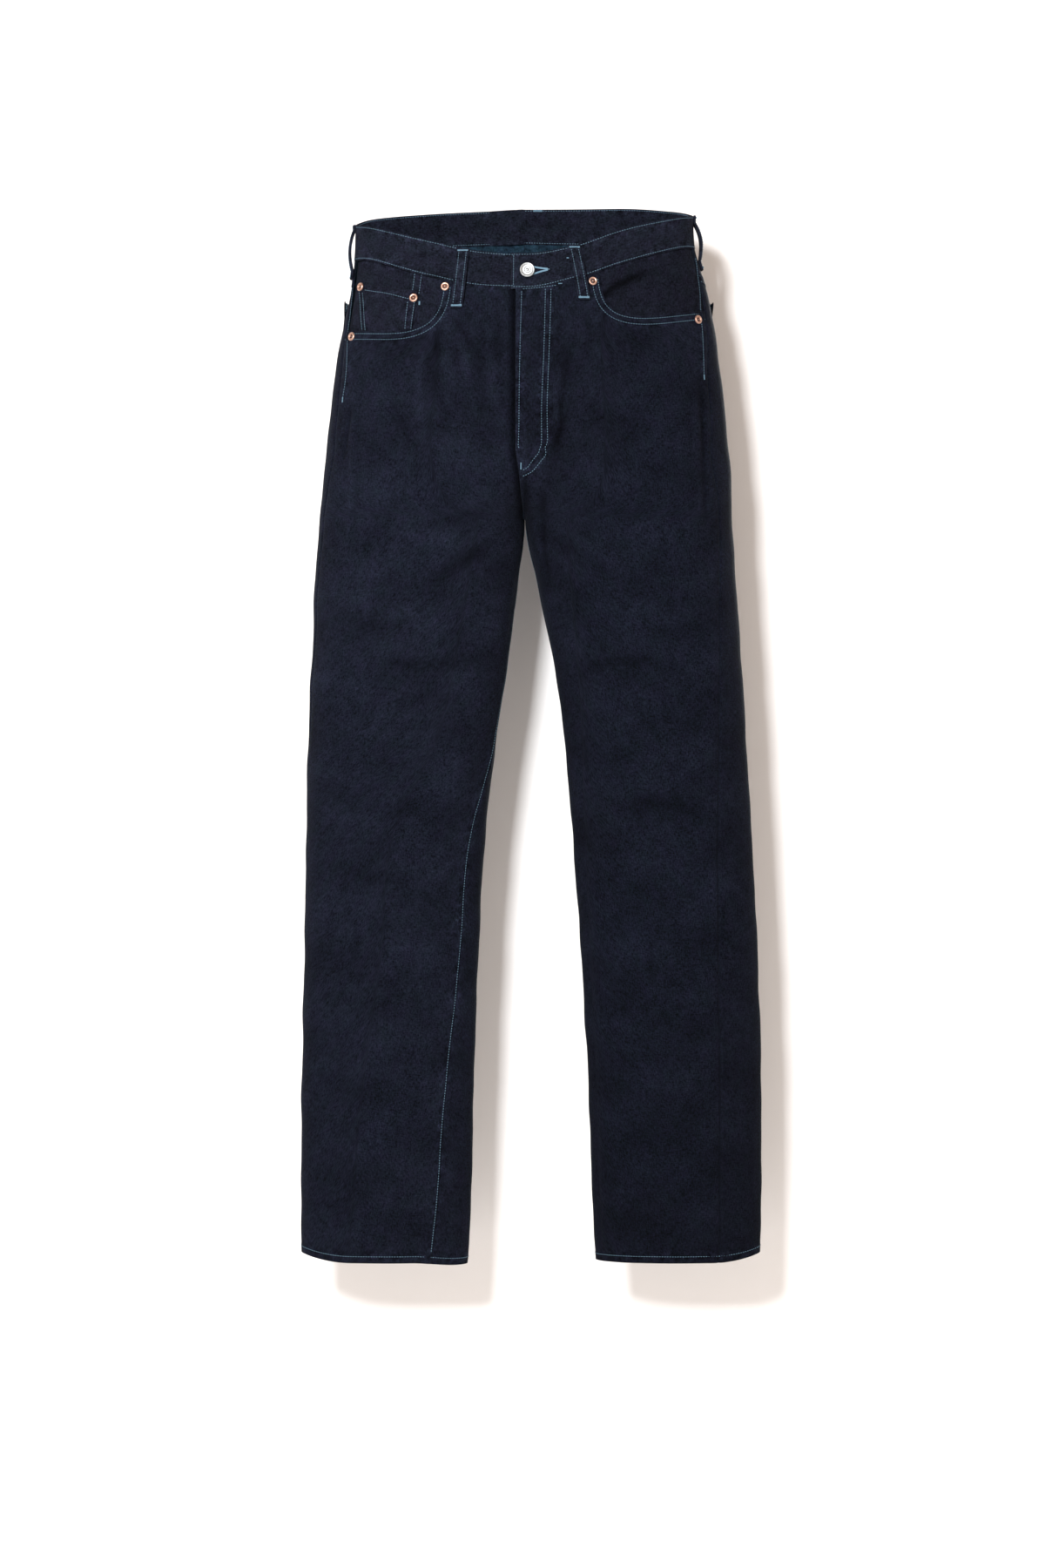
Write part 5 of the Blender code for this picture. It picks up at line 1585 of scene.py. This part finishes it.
# %% Sheets
sheet_sizes = {}
for name, kept in PIECES.items():
    grid = kept["outer"]
    across = np.linalg.norm(np.diff(grid, axis=1), axis=-1).sum(axis=1).max()
    down = np.linalg.norm(np.diff(grid, axis=0), axis=-1).sum(axis=0).max()
    if name.startswith("hem_turn"):
        across += np.linalg.norm(grid[0, 0] - grid[0, -1])
    a, b = grid[1:, 1:] - grid[:-1, :-1], grid[1:, :-1] - grid[:-1, 1:]
    area = 0.5 * np.linalg.norm(np.cross(a, b), axis=-1).sum()
    width, length = max(0.0101, float(across)), max(0.0101, float(down))
    area = float(np.clip(area, 0.31 * width * length, width * length))
    sheet_sizes[name] = (round(width, 3), round(length, 3), round(area, 4))
for name, size in sheet_sizes.items():
    print(name, "cut m", size)

# %% [markdown]
# ## Stage and light
# The jeans hang in front of a pale wall, with a pale floor below. One soft light stands in front, high on
# the left, so the shadow falls to the right and down. A second stands behind for the views from there:
# the wall is clear from its back, so the light passes it and never reaches its front. The sky fills the
# rest, a little warm.

# %% Wall, floor and light
def stage_plane(name, corners, colour):
    """A plane of the stage. It lets light and sight through from behind, so that the jeans can be seen
    from every side."""
    mesh = bpy.data.meshes.new(name)
    mesh.from_pydata(corners, [], [(0, 1, 2, 3)])
    material, tree, shader = new_material(name + "_paint")
    feed(shader, {"Base Color": (*colour, 1), "Roughness": 0.9, "Specular IOR Level": 0.1})
    behind, shadow = add(tree, "NewGeometry", "Backfacing"), add(tree, "LightPath", "Is Shadow Ray")
    clear = add(tree, "BsdfTransparent", "BSDF")
    mix = add(tree, "MixShader", "Shader", {0: combine("MAXIMUM", behind, shadow), 1: shader.outputs[0],
                                            2: clear})
    feed(tree.nodes["Material Output"], {"Surface": mix})
    mesh.materials.append(material)
    linked(name, mesh)


WALL_Y, FLOOR_Z = 0.135, -1.60
stage_plane("wall", [(-6, WALL_Y, FLOOR_Z), (6, WALL_Y, FLOOR_Z), (6, WALL_Y, 5), (-6, WALL_Y, 5)],
            (0.90, 0.90, 0.90))
stage_plane("floor", [(-6, -8, FLOOR_Z), (6, -8, FLOOR_Z), (6, 6, FLOOR_Z), (-6, 6, FLOOR_Z)],
            (0.86, 0.85, 0.84))


def soft_light(name, place, target, size, power, colour):
    light = bpy.data.lights.new(name, "AREA")
    light.shape = "SQUARE"
    light.size, light.energy, light.color = size, power, colour
    lamp = linked(name, light)
    lamp.location = place
    lamp.rotation_euler = (Vector(target) - Vector(place)).to_track_quat("-Z", "Y").to_euler()


soft_light("key", (-0.88, -3.4, 0.55), (0, 0, -0.55), 0.55, 165, (0.985, 0.99, 1.0))
soft_light("behind", (1.4, 3.2, 0.9), (0, 0, -0.5), 0.9, 150, (0.985, 0.99, 1.0))
world = bpy.data.worlds.new("studio")
scene.world = world
world.use_nodes = True
feed(world.node_tree.nodes["Background"], {"Color": (1.0, 0.80, 0.66, 1), "Strength": 0.60})
print("wall at", WALL_Y, "floor at", FLOOR_Z)
